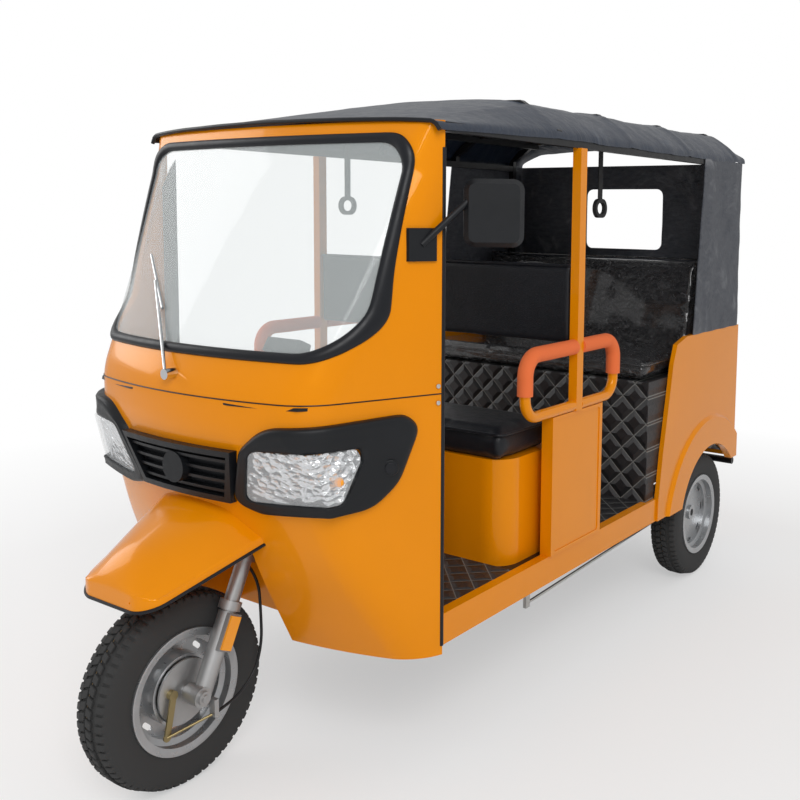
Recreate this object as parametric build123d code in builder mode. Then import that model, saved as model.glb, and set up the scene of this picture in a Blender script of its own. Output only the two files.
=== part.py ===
from build123d import *
from math import atan, cos, pi, radians, sin, sqrt, tan
import os

# Electric passenger tricycle with a canvas roof, in millimetres.
# X points to the vehicle's left, Y backwards along it, Z up from the ground.
# The origin is on the ground, in the middle of the vehicle's length and width.
os.makedirs("parts", exist_ok=True)

# Wheels and axles
FRONT_AXLE_Y = -1154.0
WHEELBASE = 2250.0
REAR_AXLE_Y = FRONT_AXLE_Y + WHEELBASE
TYRE_R = 260.0
TYRE_HALF_W = 56.0
TREAD_HALF_W = 44.0
RIM_FLANGE_R = 166.0
RIM_HALF_W = 56.0
FLANGE_IN_X = 50.0
BEAD_SEAT_R = 150.0
RIM_WELL_HALF = 20.0
WELL_R = 135.0
RIM_T = 5.0
RIM_SLOTS = 8
RIM_SLOT_L = 34.0
RIM_SLOT_W = 14.0
REAR_TRACK_HALF = 480.0
HUB_HALF_W = 41.0
FRONT_SHAFT_R = 10.0
REAR_SHAFT_R = 15.0
RUNNING_FIT = 0.05
SIDE_PLAY = 0.5
FIT_GAP = 0.3

# Body widths and heights
BODY_HALF = 562.0
REAR_HALF = 570.0
SHEET = 12.0
SILL_BOTTOM_Z = 360.0
SILL_TOP_Z = 446.0
SILL_W = 32.0
PAN_BOTTOM_Z = 432.0
PAN_T = 7.0
MAT_T = 7.0
PAN_TOP_Z = PAN_BOTTOM_Z + PAN_T
FLOOR_Z = PAN_TOP_Z + MAT_T

# Cowl: plan outline, seam, and the cylinders that its front leans against
COWL_FRONT_Y = FRONT_AXLE_Y + 14.0
COWL_REAR_Y = FRONT_AXLE_Y + 430.0
COWL_FRONT_HALF = 389.0
COWL_CORNER_R = 165.0
COWL_BOTTOM_Z = 335.0
COWL_SEAM_Z = 1045.0
COWL_TOP_Z = 1748.0
COWL_BOW_R = 1390.0
# Each row: distance behind the front axle and height of one point, lean back in degrees
COWL_LEANS = ((14.0, 1067.0, 26.1), (14.0, 940.0, -16.7), (116.0, 600.0, -26.6))

# Wheel arch and wheel well
ARCH_HALF_W = 172.0
ARCH_TOP_Z = 655.0
ARCH_CORNER_R = 45.0
WELL_WALL = 6.0
WELL_HALF_W = 191.0
WELL_TOP_Z = 741.0
WELL_REAR_Y = FRONT_AXLE_Y + 386.0

# Windscreen, seen from the front
SCREEN_BOTTOM_Z = 1155.0
SCREEN_TOP_Z = 1702.0
SCREEN_BOTTOM_HALF = 498.0
SCREEN_TOP_HALF = 517.0
SCREEN_CORNER_R = 80.0
GASKET_SIDE_W = 18.0
GASKET_EDGE_W = 24.0
GASKET_PROUD = 8.0
GLASS_T = 5.0
GLASS_INSET = 4.0

# Steering head, fork and front hub
STEER_LEAN = 25.0
STEER_FOOT = (0.0, FRONT_AXLE_Y + 8.0, 237.0)
FORK_HALF = 90.0
SLIDER_R = 25.0
STANCHION_R = 21.0
STEM_R = 18.0
HEAD_TUBE_R = 28.0
CROWN_S = (455.0, 485.0)
HEAD_TUBE_S = (560.0, 765.0)
CLAMP_S = (912.0, 950.0)
CLAMP_HALF_W = 45.0
CROWN_HALF_W = 115.0
CROWN_HALF_D = 32.0
SLIDER_S = (-5.0, 235.0)
PINCH_S = (240.0, 264.0)
PINCH_R = 30.0
SEAL_S = (372.0, 420.0)
SEAL_R = 29.0
FOOT_BOSS_R = 26.0
FOOT_BOSS_X = (64.0, 116.0)
SPACER_R = 16.0
NUT_R = 18.0
NUT_T = 13.0
DRUM_R = (86.0, 94.0)
BRAKE_PLATE_R = 84.0
BRAKE_PLATE_X = (42.0, 48.0)
BAR_R = 11.0
BAR_S = 930.0
BAR_BEND_R = 40.0
# Handlebar corners on its own plane: distance from the middle, and back
BAR_CORNERS = ((340.0, 95.0), (210.0, 80.0), (90.0, 10.0))
GRIP_R = 16.0
GRIP_L = 120.0
POD_HALF_W = 75.0
POD_Y = (-32.0, 26.0)
POD_H = 42.0
REFLECTOR_S = (136.0, 234.0)
REFLECTOR_HALF_W = 21.0

# Front brake cable: radius, and its route from the stop on the fork's foot to the crown
# (side, distance behind the front axle, height)
CABLE_R = 4.0
CABLE_ROUTE = ((118, 44, 205), (121, 110, 222), (121, 172, 268), (116, 200, 340), (108, 205, 420),
               (94, 211, 500))
CABLE_END = (58.0, 20.0)
CABLE_END_RUN = 75.0

# Mudguard sections: station behind the front axle, lower edge (half width, height),
# crease (half width, height), middle height
FENDER_T = 5.0
FENDER_LIP = 12.0
FENDER_SECTIONS = (
    (-245.0, 70.0, 578.0, 50.0, 600.0, 604.0),
    (-180.0, 137.0, 553.0, 78.0, 628.0, 634.0),
    (-60.0, 190.0, 579.0, 106.0, 684.0, 691.0),
    (160.0, 245.0, 694.0, 148.0, 787.0, 794.0),
)

# Lamp housings, drawn on a plane that faces the cowl's corner: along it, and height
LAMP_PLANE_TURN = 45.0
BEZEL_OUTLINE = ((165, 772), (183, 920), (245, 986), (407, 1000), (596, 1004), (638, 968),
                 (583, 830), (518, 766), (381, 752), (237, 745))
BEZEL_CORNER_R = 26.0
BEZEL_PROUD = 26.0
LENS_OUTLINE = ((200, 786), (208, 926), (480, 930), (481, 897), (436, 797))
LENS_CORNER_R = 22.0
LENS_PROUD = 14.0
LENS_T = 3.0
REFLECTOR_T = 6.0
SIDE_LAMP = (557.0, 874.0)
SIDE_LAMP_R = 17.0
GRILLE_TOP_Z = 918.0
GRILLE_BOTTOM_Z = 773.0
GRILLE_TOP_HALF = 215.0
GRILLE_BOTTOM_HALF = 175.0
GRILLE_PROUD = 24.0
GRILLE_SLATS = 4
GRILLE_FRAME_W = 16.0
SLAT_T = 8.0
HORN_Z = 850.0
HORN_R = 41.0

# Chassis
RAIL_X = 300.0
RAIL_W = 50.0
RAIL_BOTTOM_Z = 362.0
RAIL_FRONT_Y = FRONT_AXLE_Y + 470.0
RAIL_REAR_Y = REAR_AXLE_Y + 288.0
CROSS_BOTTOM_Z = 392.0
CROSS_W = 40.0
NECK_R = 22.0
NECK_FOOT_Y = FRONT_AXLE_Y + 640.0

# Each row: station of a cross member, half its length
CROSS_MEMBERS = (
    (FRONT_AXLE_Y + 490.0, 495.0),
    (FRONT_AXLE_Y + 640.0, 530.0),
    (FRONT_AXLE_Y + 1125.0, 530.0),
    (REAR_AXLE_Y - 560.0, 530.0),
    (REAR_AXLE_Y - 120.0, 325.0),
    (REAR_AXLE_Y + 180.0, 325.0),
)

# B-pillar, side panel and grab hoop
PILLAR_Y = FRONT_AXLE_Y + 1125.0
PILLAR_DEPTH = 38.0
PILLAR_W = 30.0
PILLAR_OUT_X = 577.0
PANEL_FRONT_Y = FRONT_AXLE_Y + 975.0
PANEL_REAR_Y = FRONT_AXLE_Y + 1295.0
PANEL_TOP_Z = 890.0
PANEL_W = 40.0
PANEL_PRESS = 3.0
HOOP_R = 17.0
HOOP_BEND_R = 62.0
HOOP_TOP_Z = 1096.0
HOOP_FRONT_Y = FRONT_AXLE_Y + 824.0
HOOP_REAR_Y = FRONT_AXLE_Y + 1378.0
GRIP_FOAM_R = 24.0
GRIP_DROP = 55.0

# Roof frame and canopy
RAIL_TOP_Z = 1745.0
ROOF_TUBE = 25.0
ROOF_RAIL_OUT_X = 566.7
CANOPY_T = 8.0
CANOPY_HALF = 575.0
CREASE_X = 520.0
FLAP_H = 22.0
SHOULDER_X = 430.0
CANOPY_FRONT_Y = FRONT_AXLE_Y + 335.0
FIRST_BOW_Y = FRONT_AXLE_Y + 978.0
REAR_BOW_Y = REAR_AXLE_Y + 192.0
CANOPY_REAR_Y = REAR_AXLE_Y + 290.0
BOW_COUNT = 4
# Heights of the flap's edge, the side crease, the shoulder and the crown
FLAP_Z = 1743.0
CANOPY_FRONT = (1726.0, 1752.0, 1757.0, 1764.0)
CANOPY_FIRST_BOW = (FLAP_Z, 1815.0, 1870.0, 1884.0)
CANOPY_REAR_BOW = (FLAP_Z, 1822.0, 1874.0, 1886.0)
CANOPY_REAR = (FLAP_Z, 1790.0, 1818.0, 1826.0)

# Rear curtain and its window
CURTAIN_T = 8.0
CURTAIN_TOP_FRONT_Y = REAR_AXLE_Y - 136.0
CURTAIN_LOW_FRONT_Y = REAR_AXLE_Y - 205.0
CURTAIN_REAR_Y = REAR_AXLE_Y + 284.0
CURTAIN_CORNER_R = 24.0
WINDOW_HALF = 195.0
WINDOW_BOTTOM_Z = 1360.0
WINDOW_TOP_Z = 1635.0
WINDOW_CORNER_R = 30.0

# Rear body
REAR_BODY_T = 18.0
REAR_BODY_TOP_Z = 1046.0
REAR_BODY_REAR_Y = REAR_AXLE_Y + 290.0
REAR_ARCH_R = 305.0
ARCH_BULGE_R = 430.0
ARCH_BULGE = 12.0
REAR_SKIRT_Z = 462.0
SILL_REAR_Y = REAR_AXLE_Y - 492.0
# Front edge of the rear side panel: distance ahead of the rear axle, and height
REAR_EDGE = ((492, 360), (488, 444), (456, 630), (414, 817), (387, 948), (355, 1022), (263, 1046))
EMBOSS = (-299.0, 135.0, 742.0, 973.0)
EMBOSS_DEPTH = 4.0
PLATE_HOLE_R = 3.25
PLATE_HOLE_SPACING = 150.0
PLATE_Z = 560.0
TAIL_LAMP_X = 480.0
TAIL_LAMP_W = 90.0
TAIL_LAMP_H = 170.0
TAIL_LAMP_Z = 700.0
TAIL_LAMP_T = 22.0

# Seats
DRIVER_BASE_HALF = 500.0
DRIVER_BASE_FRONT_Y = FRONT_AXLE_Y + 812.0
DRIVER_BASE_REAR_Y = FRONT_AXLE_Y + 1095.0
DRIVER_BASE_TOP_Z = 772.0
DRIVER_BASE_CORNER_R = 85.0
DRIVER_CUSHION_T = 98.0
DRIVER_CUSHION_FRONT_Y = FRONT_AXLE_Y + 785.0
DRIVER_CUSHION_HALF = 510.0
DRIVER_BACK_Z = (1100.0, 1358.0)
DRIVER_BACK_T = 30.0
BENCH_FRONT_Y = REAR_AXLE_Y - 560.0
BENCH_REAR_Y = REAR_AXLE_Y + 200.0
BENCH_TOP_Z = 900.0
BENCH_WALL = 12.0
BENCH_HALF = 550.0
BENCH_CUSHION_T = 72.0
BENCH_CUSHION_DEPTH = 420.0
BENCH_BACK_T = 105.0
BENCH_BACK_TOP_Z = 1355.0
BENCH_BACK_LEAN = 12.0
WHEELHOUSE_R = 300.0
WHEELHOUSE_IN_X = 400.0
BATTERY_W = 600.0
BATTERY_L = 380.0
BATTERY_H = 235.0

# Rear axle, springs, brake rods, bumper
AXLE_TUBE_R = 30.0
MOTOR_R = 95.0
MOTOR_W = 260.0
SPRING_W = 50.0
SPRING_LEAF_T = 8.0
SPRING_LEAVES = 3
SPRING_HALF_L = 270.0
SPRING_RISE = 34.0
BACKPLATE_R = 108.0
BACKPLATE_X = (402.0, 412.0)
REAR_DRUM_R = (94.0, 103.0)
REAR_HUB_OUT = 22.0
ROD_R = 5.0
ROD_X = 388.0
BUMPER_R = 15.0
BUMPER_Z = 432.0
BUMPER_Y = RAIL_REAR_Y + BUMPER_R
BUMPER_HALF = 560.0

# Mirrors, wiper, hand straps
MIRROR_SWING = 37.0
MIRROR_INNER = (604.0, 454.0)
MIRROR_W = 156.0
MIRROR_Z = (1427.0, 1602.0)
MIRROR_T = 36.0
MIRROR_CORNER_R = 30.0
MIRROR_RIM = 8.0
MIRROR_GLASS_T = 2.0
MIRROR_BRACKET_Y = (328.0, 402.0)
MIRROR_BRACKET_Z = (1391.0, 1475.0)
MIRROR_ARM_R = 9.0
WIPER_PIVOT = (-5.0, 1094.0)
WIPER_BLADE = ((-149.0, 1247.0), (-329.0, 1383.0))
WIPER_PROUD = 8.0
LONGERON_X = 427.0
LONGERON_TOP_Z = 1847.0
# Each row: side and station of one hand strap
STRAP_STATIONS = ((LONGERON_X, 1510.0), (-LONGERON_X, 1131.0))
STRAP_W = 28.0
STRAP_T = 4.0
STRAP_RING_Z = (1504.0, 1571.0)
STRAP_RING_HALF = 42.0
STRAP_RING_R = 7.0


def span_box(xs, ys, zs, mode=Mode.ADD):
    """Box between two corners, given as pairs along each axis."""
    with Locations(((xs[0] + xs[1]) / 2, (ys[0] + ys[1]) / 2, (zs[0] + zs[1]) / 2)):
        Box(abs(xs[1] - xs[0]), abs(ys[1] - ys[0]), abs(zs[1] - zs[0]), mode=mode)


def rod(start, end, radius, mode=Mode.ADD):
    """Round bar between two points."""
    line = Vector(*end) - Vector(*start)
    with BuildSketch(Plane(origin=start, z_dir=line)) as section:
        Circle(radius)
    extrude(section.sketch, amount=line.length, mode=mode)


def finish(part, name):
    """Label a finished piece and write its file."""
    part.label = name
    export_step(part, f"parts/{name}.step")


# Cowl block: the solid inside the cowl's outer face, moved out by grow
COWL_SIDE_TURN = atan((BODY_HALF - COWL_FRONT_HALF) / (COWL_REAR_Y - COWL_FRONT_Y))


def lean_solid(row, grow):
    """Everything behind one leaning, bowed face of the cowl."""
    station, height, lean = row
    turn = radians(lean)
    face = Plane(origin=(0, FRONT_AXLE_Y + station, height), x_dir=(1, 0, 0),
                 z_dir=(0, sin(turn), cos(turn)))
    half = BODY_HALF + 240
    bow_r = COWL_BOW_R + grow
    edge = COWL_BOW_R - sqrt(bow_r**2 - half**2)
    with BuildPart() as lean_part:
        with BuildSketch(face):
            with BuildLine():
                ThreePointArc((-half, edge), (0, -grow), (half, edge))
                Polyline((half, edge), (half, WHEELBASE), (-half, WHEELBASE), (-half, edge))
            make_face()
        extrude(amount=WHEELBASE, both=True)
    return lean_part.part


def cowl_block(grow):
    """Solid bounded by the cowl's outer face, moved outwards by grow."""
    front_half = COWL_FRONT_HALF + grow * (1 - sin(COWL_SIDE_TURN)) / cos(COWL_SIDE_TURN)
    rear_half = BODY_HALF + grow / cos(COWL_SIDE_TURN)
    with BuildPart() as block:
        with BuildSketch(Plane.XY.offset(COWL_BOTTOM_Z)) as plan:
            with BuildLine():
                Polyline((-front_half, COWL_FRONT_Y - grow), (front_half, COWL_FRONT_Y - grow),
                         (rear_half, COWL_REAR_Y), (-rear_half, COWL_REAR_Y), close=True)
            make_face()
            fillet(plan.vertices().group_by(Axis.Y)[0], COWL_CORNER_R + grow)
        extrude(amount=COWL_TOP_Z - COWL_BOTTOM_Z)
        for row in COWL_LEANS:
            add(lean_solid(row, grow), mode=Mode.INTERSECT)
    return block.part


def cowl_band(inner, outer):
    """Skin between two offsets of the cowl's face."""
    with BuildPart() as band:
        add(cowl_block(outer))
        add(cowl_block(inner), mode=Mode.SUBTRACT)
    return band.part


def screen_prism(side_inset, edge_inset, corner_inset):
    """Windscreen outline in front view, inset and run backwards through the cowl."""
    low, high = SCREEN_BOTTOM_Z + edge_inset, SCREEN_TOP_Z - edge_inset
    low_half, high_half = SCREEN_BOTTOM_HALF - side_inset, SCREEN_TOP_HALF - side_inset
    with BuildPart() as prism:
        with BuildSketch(Plane.XZ.offset(-COWL_REAR_Y)) as outline:
            with BuildLine():
                Polyline((-low_half, low), (low_half, low), (high_half, high),
                         (-high_half, high), close=True)
            make_face()
            fillet(outline.vertices(), SCREEN_CORNER_R - corner_inset)
        extrude(amount=COWL_REAR_Y - COWL_FRONT_Y + 100)
    return prism.part


def lamp_prism(points, corner_r, grow=0.0):
    """Outline drawn on the corner-facing plane, run through the cowl's left corner."""
    turn = radians(LAMP_PLANE_TURN)
    face = Plane(origin=(0, FRONT_AXLE_Y, 0), x_dir=(cos(turn), sin(turn), 0),
                 z_dir=(sin(turn), -cos(turn), 0))
    with BuildPart() as prism:
        with BuildSketch(face) as outline:
            with BuildLine():
                Polyline(*points, close=True)
            make_face()
            fillet(outline.vertices(), corner_r)
            if grow:
                offset(amount=grow)
        extrude(amount=700)
        span_box((0, 900), (FRONT_AXLE_Y - 200, COWL_REAR_Y), (COWL_BOTTOM_Z, COWL_TOP_Z),
                 mode=Mode.INTERSECT)
    return prism.part


cowl_shell = cowl_band(-SHEET, 0)
screen_hole = screen_prism(GASKET_SIDE_W / 2, GASKET_EDGE_W / 2, GASKET_EDGE_W / 2)

# Cowl, lower part: open wheel arch in the middle
with BuildPart() as cowl_lower:
    add(cowl_shell)
    span_box((-900, 900), (FRONT_AXLE_Y - 300, COWL_REAR_Y + 300), (COWL_SEAM_Z, 2000),
             mode=Mode.SUBTRACT)
    with BuildSketch(Plane.XZ.offset(-WELL_REAR_Y)) as arch:
        with Locations((0, (ARCH_TOP_Z + COWL_BOTTOM_Z - 60) / 2)):
            Rectangle(2 * ARCH_HALF_W, ARCH_TOP_Z - COWL_BOTTOM_Z + 60)
        fillet(arch.vertices().group_by(Axis.Y)[-1], ARCH_CORNER_R)
    extrude(amount=WELL_REAR_Y - COWL_FRONT_Y + 100, mode=Mode.SUBTRACT)
finish(cowl_lower.part, "cowl_lower")

# Cowl, upper part: windscreen surround, corner pillars and header
with BuildPart() as cowl_upper:
    add(cowl_shell)
    span_box((-900, 900), (FRONT_AXLE_Y - 300, COWL_REAR_Y + 300), (0, COWL_SEAM_Z),
             mode=Mode.SUBTRACT)
    add(screen_hole, mode=Mode.SUBTRACT)
finish(cowl_upper.part, "cowl_upper")

# Windscreen glass, bedded in its gasket
with BuildPart() as windshield_glass:
    add(cowl_band(-GLASS_T - 2, -2))
    add(screen_prism(GASKET_SIDE_W / 2 + GLASS_INSET, GASKET_EDGE_W / 2 + GLASS_INSET,
                     GASKET_EDGE_W / 2 + GLASS_INSET), mode=Mode.INTERSECT)
finish(windshield_glass.part, "windshield_glass")

# Windscreen gasket: a ring that covers the edges of the sheet and of the glass
with BuildPart() as windshield_gasket:
    add(cowl_band(-SHEET, GASKET_PROUD))
    add(screen_prism(0, 0, 0), mode=Mode.INTERSECT)
    add(screen_prism(GASKET_SIDE_W, GASKET_EDGE_W, GASKET_EDGE_W), mode=Mode.SUBTRACT)
    add(cowl_upper.part, mode=Mode.SUBTRACT)
    add(windshield_glass.part, mode=Mode.SUBTRACT)
finish(windshield_gasket.part, "windshield_gasket")

# Wheel well: side walls, roof and back wall behind the front wheel
steer_turn = radians(STEER_LEAN)
steer_head = Plane(origin=STEER_FOOT, x_dir=(1, 0, 0), z_dir=(0, sin(steer_turn), cos(steer_turn)))
with BuildPart() as wheel_well:
    span_box((-WELL_HALF_W, WELL_HALF_W), (COWL_FRONT_Y, WELL_REAR_Y),
             (COWL_BOTTOM_Z, WELL_TOP_Z))
    span_box((WELL_WALL - WELL_HALF_W, WELL_HALF_W - WELL_WALL),
             (COWL_FRONT_Y, WELL_REAR_Y - WELL_WALL),
             (COWL_BOTTOM_Z, WELL_TOP_Z - WELL_WALL), mode=Mode.SUBTRACT)
    add(cowl_block(-SHEET), mode=Mode.INTERSECT)
    with BuildSketch(steer_head.offset(HEAD_TUBE_S[0] - 80)):
        Circle(HEAD_TUBE_R + 14)
    extrude(amount=150, mode=Mode.SUBTRACT)
finish(wheel_well.part, "wheel_well")

# Dashboard: shelf and panel behind the cowl, with room for the steering column
DASH_TOP_Z = COWL_SEAM_Z - 5
DASH_REAR_Y = FRONT_AXLE_Y + 418.0
DASH_BOTTOM_Z = 830.0
POST_OUT_X = BODY_HALF - 28
POST_W = 30.0
with BuildPart() as dashboard:
    span_box((-BODY_HALF, BODY_HALF), (COWL_FRONT_Y, DASH_REAR_Y), (DASH_TOP_Z - 8, DASH_TOP_Z))
    span_box((-480, 480), (DASH_REAR_Y - 8, DASH_REAR_Y), (DASH_BOTTOM_Z, DASH_TOP_Z - 8))
    add(cowl_block(-SHEET), mode=Mode.INTERSECT)
    with BuildSketch(steer_head.offset(HEAD_TUBE_S[1])):
        Circle(HEAD_TUBE_R + 14)
    extrude(amount=250, mode=Mode.SUBTRACT)
    for side in (-1, 1):
        span_box((side * (POST_OUT_X + FIT_GAP), side * (POST_OUT_X - POST_W - FIT_GAP)),
                 (COWL_REAR_Y - POST_W - FIT_GAP, COWL_REAR_Y), (0, COWL_TOP_Z), mode=Mode.SUBTRACT)
finish(dashboard.part, "dashboard")

# Mudguard in front of the cowl, over the wheel
def fender_body(inset):
    """Loft through the mudguard's sections, with its faces moved in by inset."""
    with BuildPart() as body:
        for station, low_half, low_z, crease_half, crease_z, top_z in FENDER_SECTIONS:
            front_inset = inset if station == FENDER_SECTIONS[0][0] else 0
            with BuildSketch(Plane.XZ.offset(-(FRONT_AXLE_Y + station + front_inset))):
                with BuildLine():
                    Polyline((inset - low_half, low_z - 3 * inset), (inset - low_half, low_z - inset),
                             (inset - crease_half, crease_z - inset), (0, top_z - inset),
                             (crease_half - inset, crease_z - inset), (low_half - inset, low_z - inset),
                             (low_half - inset, low_z - 3 * inset), close=True)
                make_face()
        loft(ruled=True)
    return body.part


with BuildPart() as front_fender:
    for station, low_half, low_z, crease_half, crease_z, top_z in FENDER_SECTIONS:
        with BuildSketch(Plane.XZ.offset(-(FRONT_AXLE_Y + station))):
            with BuildLine():
                Polyline((-low_half, low_z - FENDER_LIP), (-low_half, low_z), (-crease_half, crease_z),
                         (0, top_z), (crease_half, crease_z), (low_half, low_z),
                         (low_half, low_z - FENDER_LIP), close=True)
            make_face()
    loft(ruled=True)
    add(fender_body(FENDER_T), mode=Mode.SUBTRACT)
    add(cowl_block(FIT_GAP), mode=Mode.SUBTRACT)
finish(front_fender.part, "front_fender")

# Lamp housings at the cowl's corners, the grille between them, and what they hold
with BuildPart() as bezel_left:
    add(cowl_band(0, BEZEL_PROUD))
    add(lamp_prism(BEZEL_OUTLINE, BEZEL_CORNER_R), mode=Mode.INTERSECT)
    add(lamp_prism(LENS_OUTLINE, LENS_CORNER_R), mode=Mode.SUBTRACT)
with BuildPart() as lamp_bezels:
    add(bezel_left.part)
    mirror(about=Plane.YZ)
finish(lamp_bezels.part, "lamp_bezels")

with BuildPart() as headlamp_reflectors:
    add(cowl_band(0, REFLECTOR_T))
    add(lamp_prism(LENS_OUTLINE, LENS_CORNER_R, grow=-FIT_GAP), mode=Mode.INTERSECT)
    mirror(about=Plane.YZ)
finish(headlamp_reflectors.part, "headlamp_reflectors")

with BuildPart() as headlamp_lenses:
    add(cowl_band(LENS_PROUD, LENS_PROUD + LENS_T))
    add(lamp_prism(LENS_OUTLINE, LENS_CORNER_R, grow=-FIT_GAP), mode=Mode.INTERSECT)
    mirror(about=Plane.YZ)
finish(headlamp_lenses.part, "headlamp_lenses")


def grille_prism(inset):
    """Grille outline in front view, inset and run backwards into the cowl."""
    with BuildPart() as prism:
        with BuildSketch(Plane.XZ.offset(-(COWL_FRONT_Y + 120))):
            with BuildLine():
                Polyline((inset - GRILLE_BOTTOM_HALF, GRILLE_BOTTOM_Z + inset),
                         (GRILLE_BOTTOM_HALF - inset, GRILLE_BOTTOM_Z + inset),
                         (GRILLE_TOP_HALF - inset, GRILLE_TOP_Z - inset),
                         (inset - GRILLE_TOP_HALF, GRILLE_TOP_Z - inset), close=True)
            make_face()
        extrude(amount=250)
    return prism.part


GRILLE_IN_H = GRILLE_TOP_Z - GRILLE_BOTTOM_Z - 2 * GRILLE_FRAME_W
with BuildPart() as slat_planes:
    for row in range(GRILLE_SLATS):
        slat_z = GRILLE_BOTTOM_Z + GRILLE_FRAME_W + GRILLE_IN_H * (row + 0.5) / GRILLE_SLATS
        span_box((-GRILLE_TOP_HALF, GRILLE_TOP_HALF), (COWL_FRONT_Y - 130, COWL_FRONT_Y + 120),
                 (slat_z - SLAT_T / 2, slat_z + SLAT_T / 2))
with BuildPart() as grille:
    add(cowl_band(0, GRILLE_PROUD))
    add(grille_prism(0), mode=Mode.INTERSECT)
    add(grille_prism(GRILLE_FRAME_W), mode=Mode.SUBTRACT)
    with BuildPart(mode=Mode.PRIVATE) as slats:
        add(cowl_band(0, GRILLE_PROUD - 8))
        add(grille_prism(GRILLE_FRAME_W), mode=Mode.INTERSECT)
        add(slat_planes.part, mode=Mode.INTERSECT)
    add(slats.part)
    with BuildSketch(Plane.XZ.offset(-(COWL_FRONT_Y + 80))):
        with Locations((0, HORN_Z)):
            Circle(HORN_R)
    extrude(amount=84)
    add(cowl_block(0), mode=Mode.SUBTRACT)
    add(lamp_bezels.part, mode=Mode.SUBTRACT)
finish(grille.part, "grille")

# Chassis: rails, cross members, neck and steering head tube
NECK_FOOT = (0, NECK_FOOT_Y, (CROSS_BOTTOM_Z + PAN_BOTTOM_Z) / 2)
NECK_HEAD = steer_head.from_local_coords((0, 0, HEAD_TUBE_S[1] - 25))
with BuildPart() as chassis_frame:
    for side in (-1, 1):
        span_box((side * RAIL_X - RAIL_W / 2, side * RAIL_X + RAIL_W / 2),
                 (RAIL_FRONT_Y, RAIL_REAR_Y), (RAIL_BOTTOM_Z, PAN_BOTTOM_Z))
    for cross_y, cross_half in CROSS_MEMBERS:
        span_box((-cross_half, cross_half), (cross_y - CROSS_W / 2, cross_y + CROSS_W / 2),
                 (CROSS_BOTTOM_Z, PAN_BOTTOM_Z))
    rod(NECK_FOOT, tuple(NECK_HEAD), NECK_R)
    with BuildSketch(steer_head.offset(HEAD_TUBE_S[0])):
        Circle(HEAD_TUBE_R)
    extrude(amount=HEAD_TUBE_S[1] - HEAD_TUBE_S[0])
    with BuildSketch(steer_head.offset(HEAD_TUBE_S[0] - 50)):
        Circle(STEM_R)
    extrude(amount=HEAD_TUBE_S[1] - HEAD_TUBE_S[0] + 100, mode=Mode.SUBTRACT)
finish(chassis_frame.part, "chassis_frame")

# Floor pan, its quilted mats ahead of and behind the driver's bench, and the sills
PAN_HALF = BODY_HALF - SILL_W
with BuildPart() as floor_pan:
    span_box((-BODY_HALF, BODY_HALF), (WELL_REAR_Y, COWL_REAR_Y), (PAN_BOTTOM_Z, PAN_TOP_Z))
    add(cowl_block(-SHEET), mode=Mode.INTERSECT)
    span_box((-PAN_HALF, PAN_HALF), (COWL_REAR_Y, SILL_REAR_Y), (PAN_BOTTOM_Z, PAN_TOP_Z))
    span_box((-WHEELHOUSE_IN_X, WHEELHOUSE_IN_X), (SILL_REAR_Y, REAR_BODY_REAR_Y - REAR_BODY_T),
             (PAN_BOTTOM_Z, PAN_TOP_Z))
    rod(NECK_FOOT, tuple(NECK_HEAD), NECK_R + FIT_GAP, mode=Mode.SUBTRACT)
finish(floor_pan.part, "floor_pan")

MAT_FRONT_Y = COWL_REAR_Y + 2
with BuildPart() as floor_mat:
    for mat_ys in ((MAT_FRONT_Y, DRIVER_BASE_FRONT_Y), (DRIVER_BASE_REAR_Y, BENCH_FRONT_Y)):
        span_box((-PAN_HALF, PAN_HALF), mat_ys, (PAN_TOP_Z, FLOOR_Z))
    rod(NECK_FOOT, tuple(NECK_HEAD), NECK_R + FIT_GAP, mode=Mode.SUBTRACT)
finish(floor_mat.part, "floor_mat")

with BuildPart() as sills:
    for side in (-1, 1):
        span_box((side * BODY_HALF, side * PAN_HALF), (COWL_REAR_Y, SILL_REAR_Y),
                 (SILL_BOTTOM_Z, SILL_TOP_Z))
finish(sills.part, "sills")

# B-pillars: pressed side panel below, square pillar above
PANEL_OUT_X = PAN_HALF + PANEL_W
with BuildPart() as b_pillars:
    span_box((PANEL_OUT_X - PANEL_W, PANEL_OUT_X), (PANEL_FRONT_Y, PANEL_REAR_Y),
             (SILL_TOP_Z, PANEL_TOP_Z))
    with BuildSketch(Plane.YZ.offset(PANEL_OUT_X)) as press:
        with Locations(((PANEL_FRONT_Y + PANEL_REAR_Y) / 2, (SILL_TOP_Z + PANEL_TOP_Z) / 2)):
            Rectangle(PANEL_REAR_Y - PANEL_FRONT_Y - 36, PANEL_TOP_Z - SILL_TOP_Z - 24)
        fillet(press.vertices(), 10)
    extrude(amount=-PANEL_PRESS, mode=Mode.SUBTRACT)
    span_box((PILLAR_OUT_X - PILLAR_W, PILLAR_OUT_X),
             (PILLAR_Y - PILLAR_DEPTH / 2, PILLAR_Y + PILLAR_DEPTH / 2),
             (PANEL_TOP_Z, RAIL_TOP_Z - ROOF_TUBE))
    mirror(about=Plane.YZ)
finish(b_pillars.part, "b_pillars")

# Grab hoops: a bent tube each side of the pillar, with a foam grip along the top
HOOP_X = PILLAR_OUT_X - PILLAR_W / 2
HOOP_LOW_Z = PANEL_TOP_Z + HOOP_R + FIT_GAP


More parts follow.
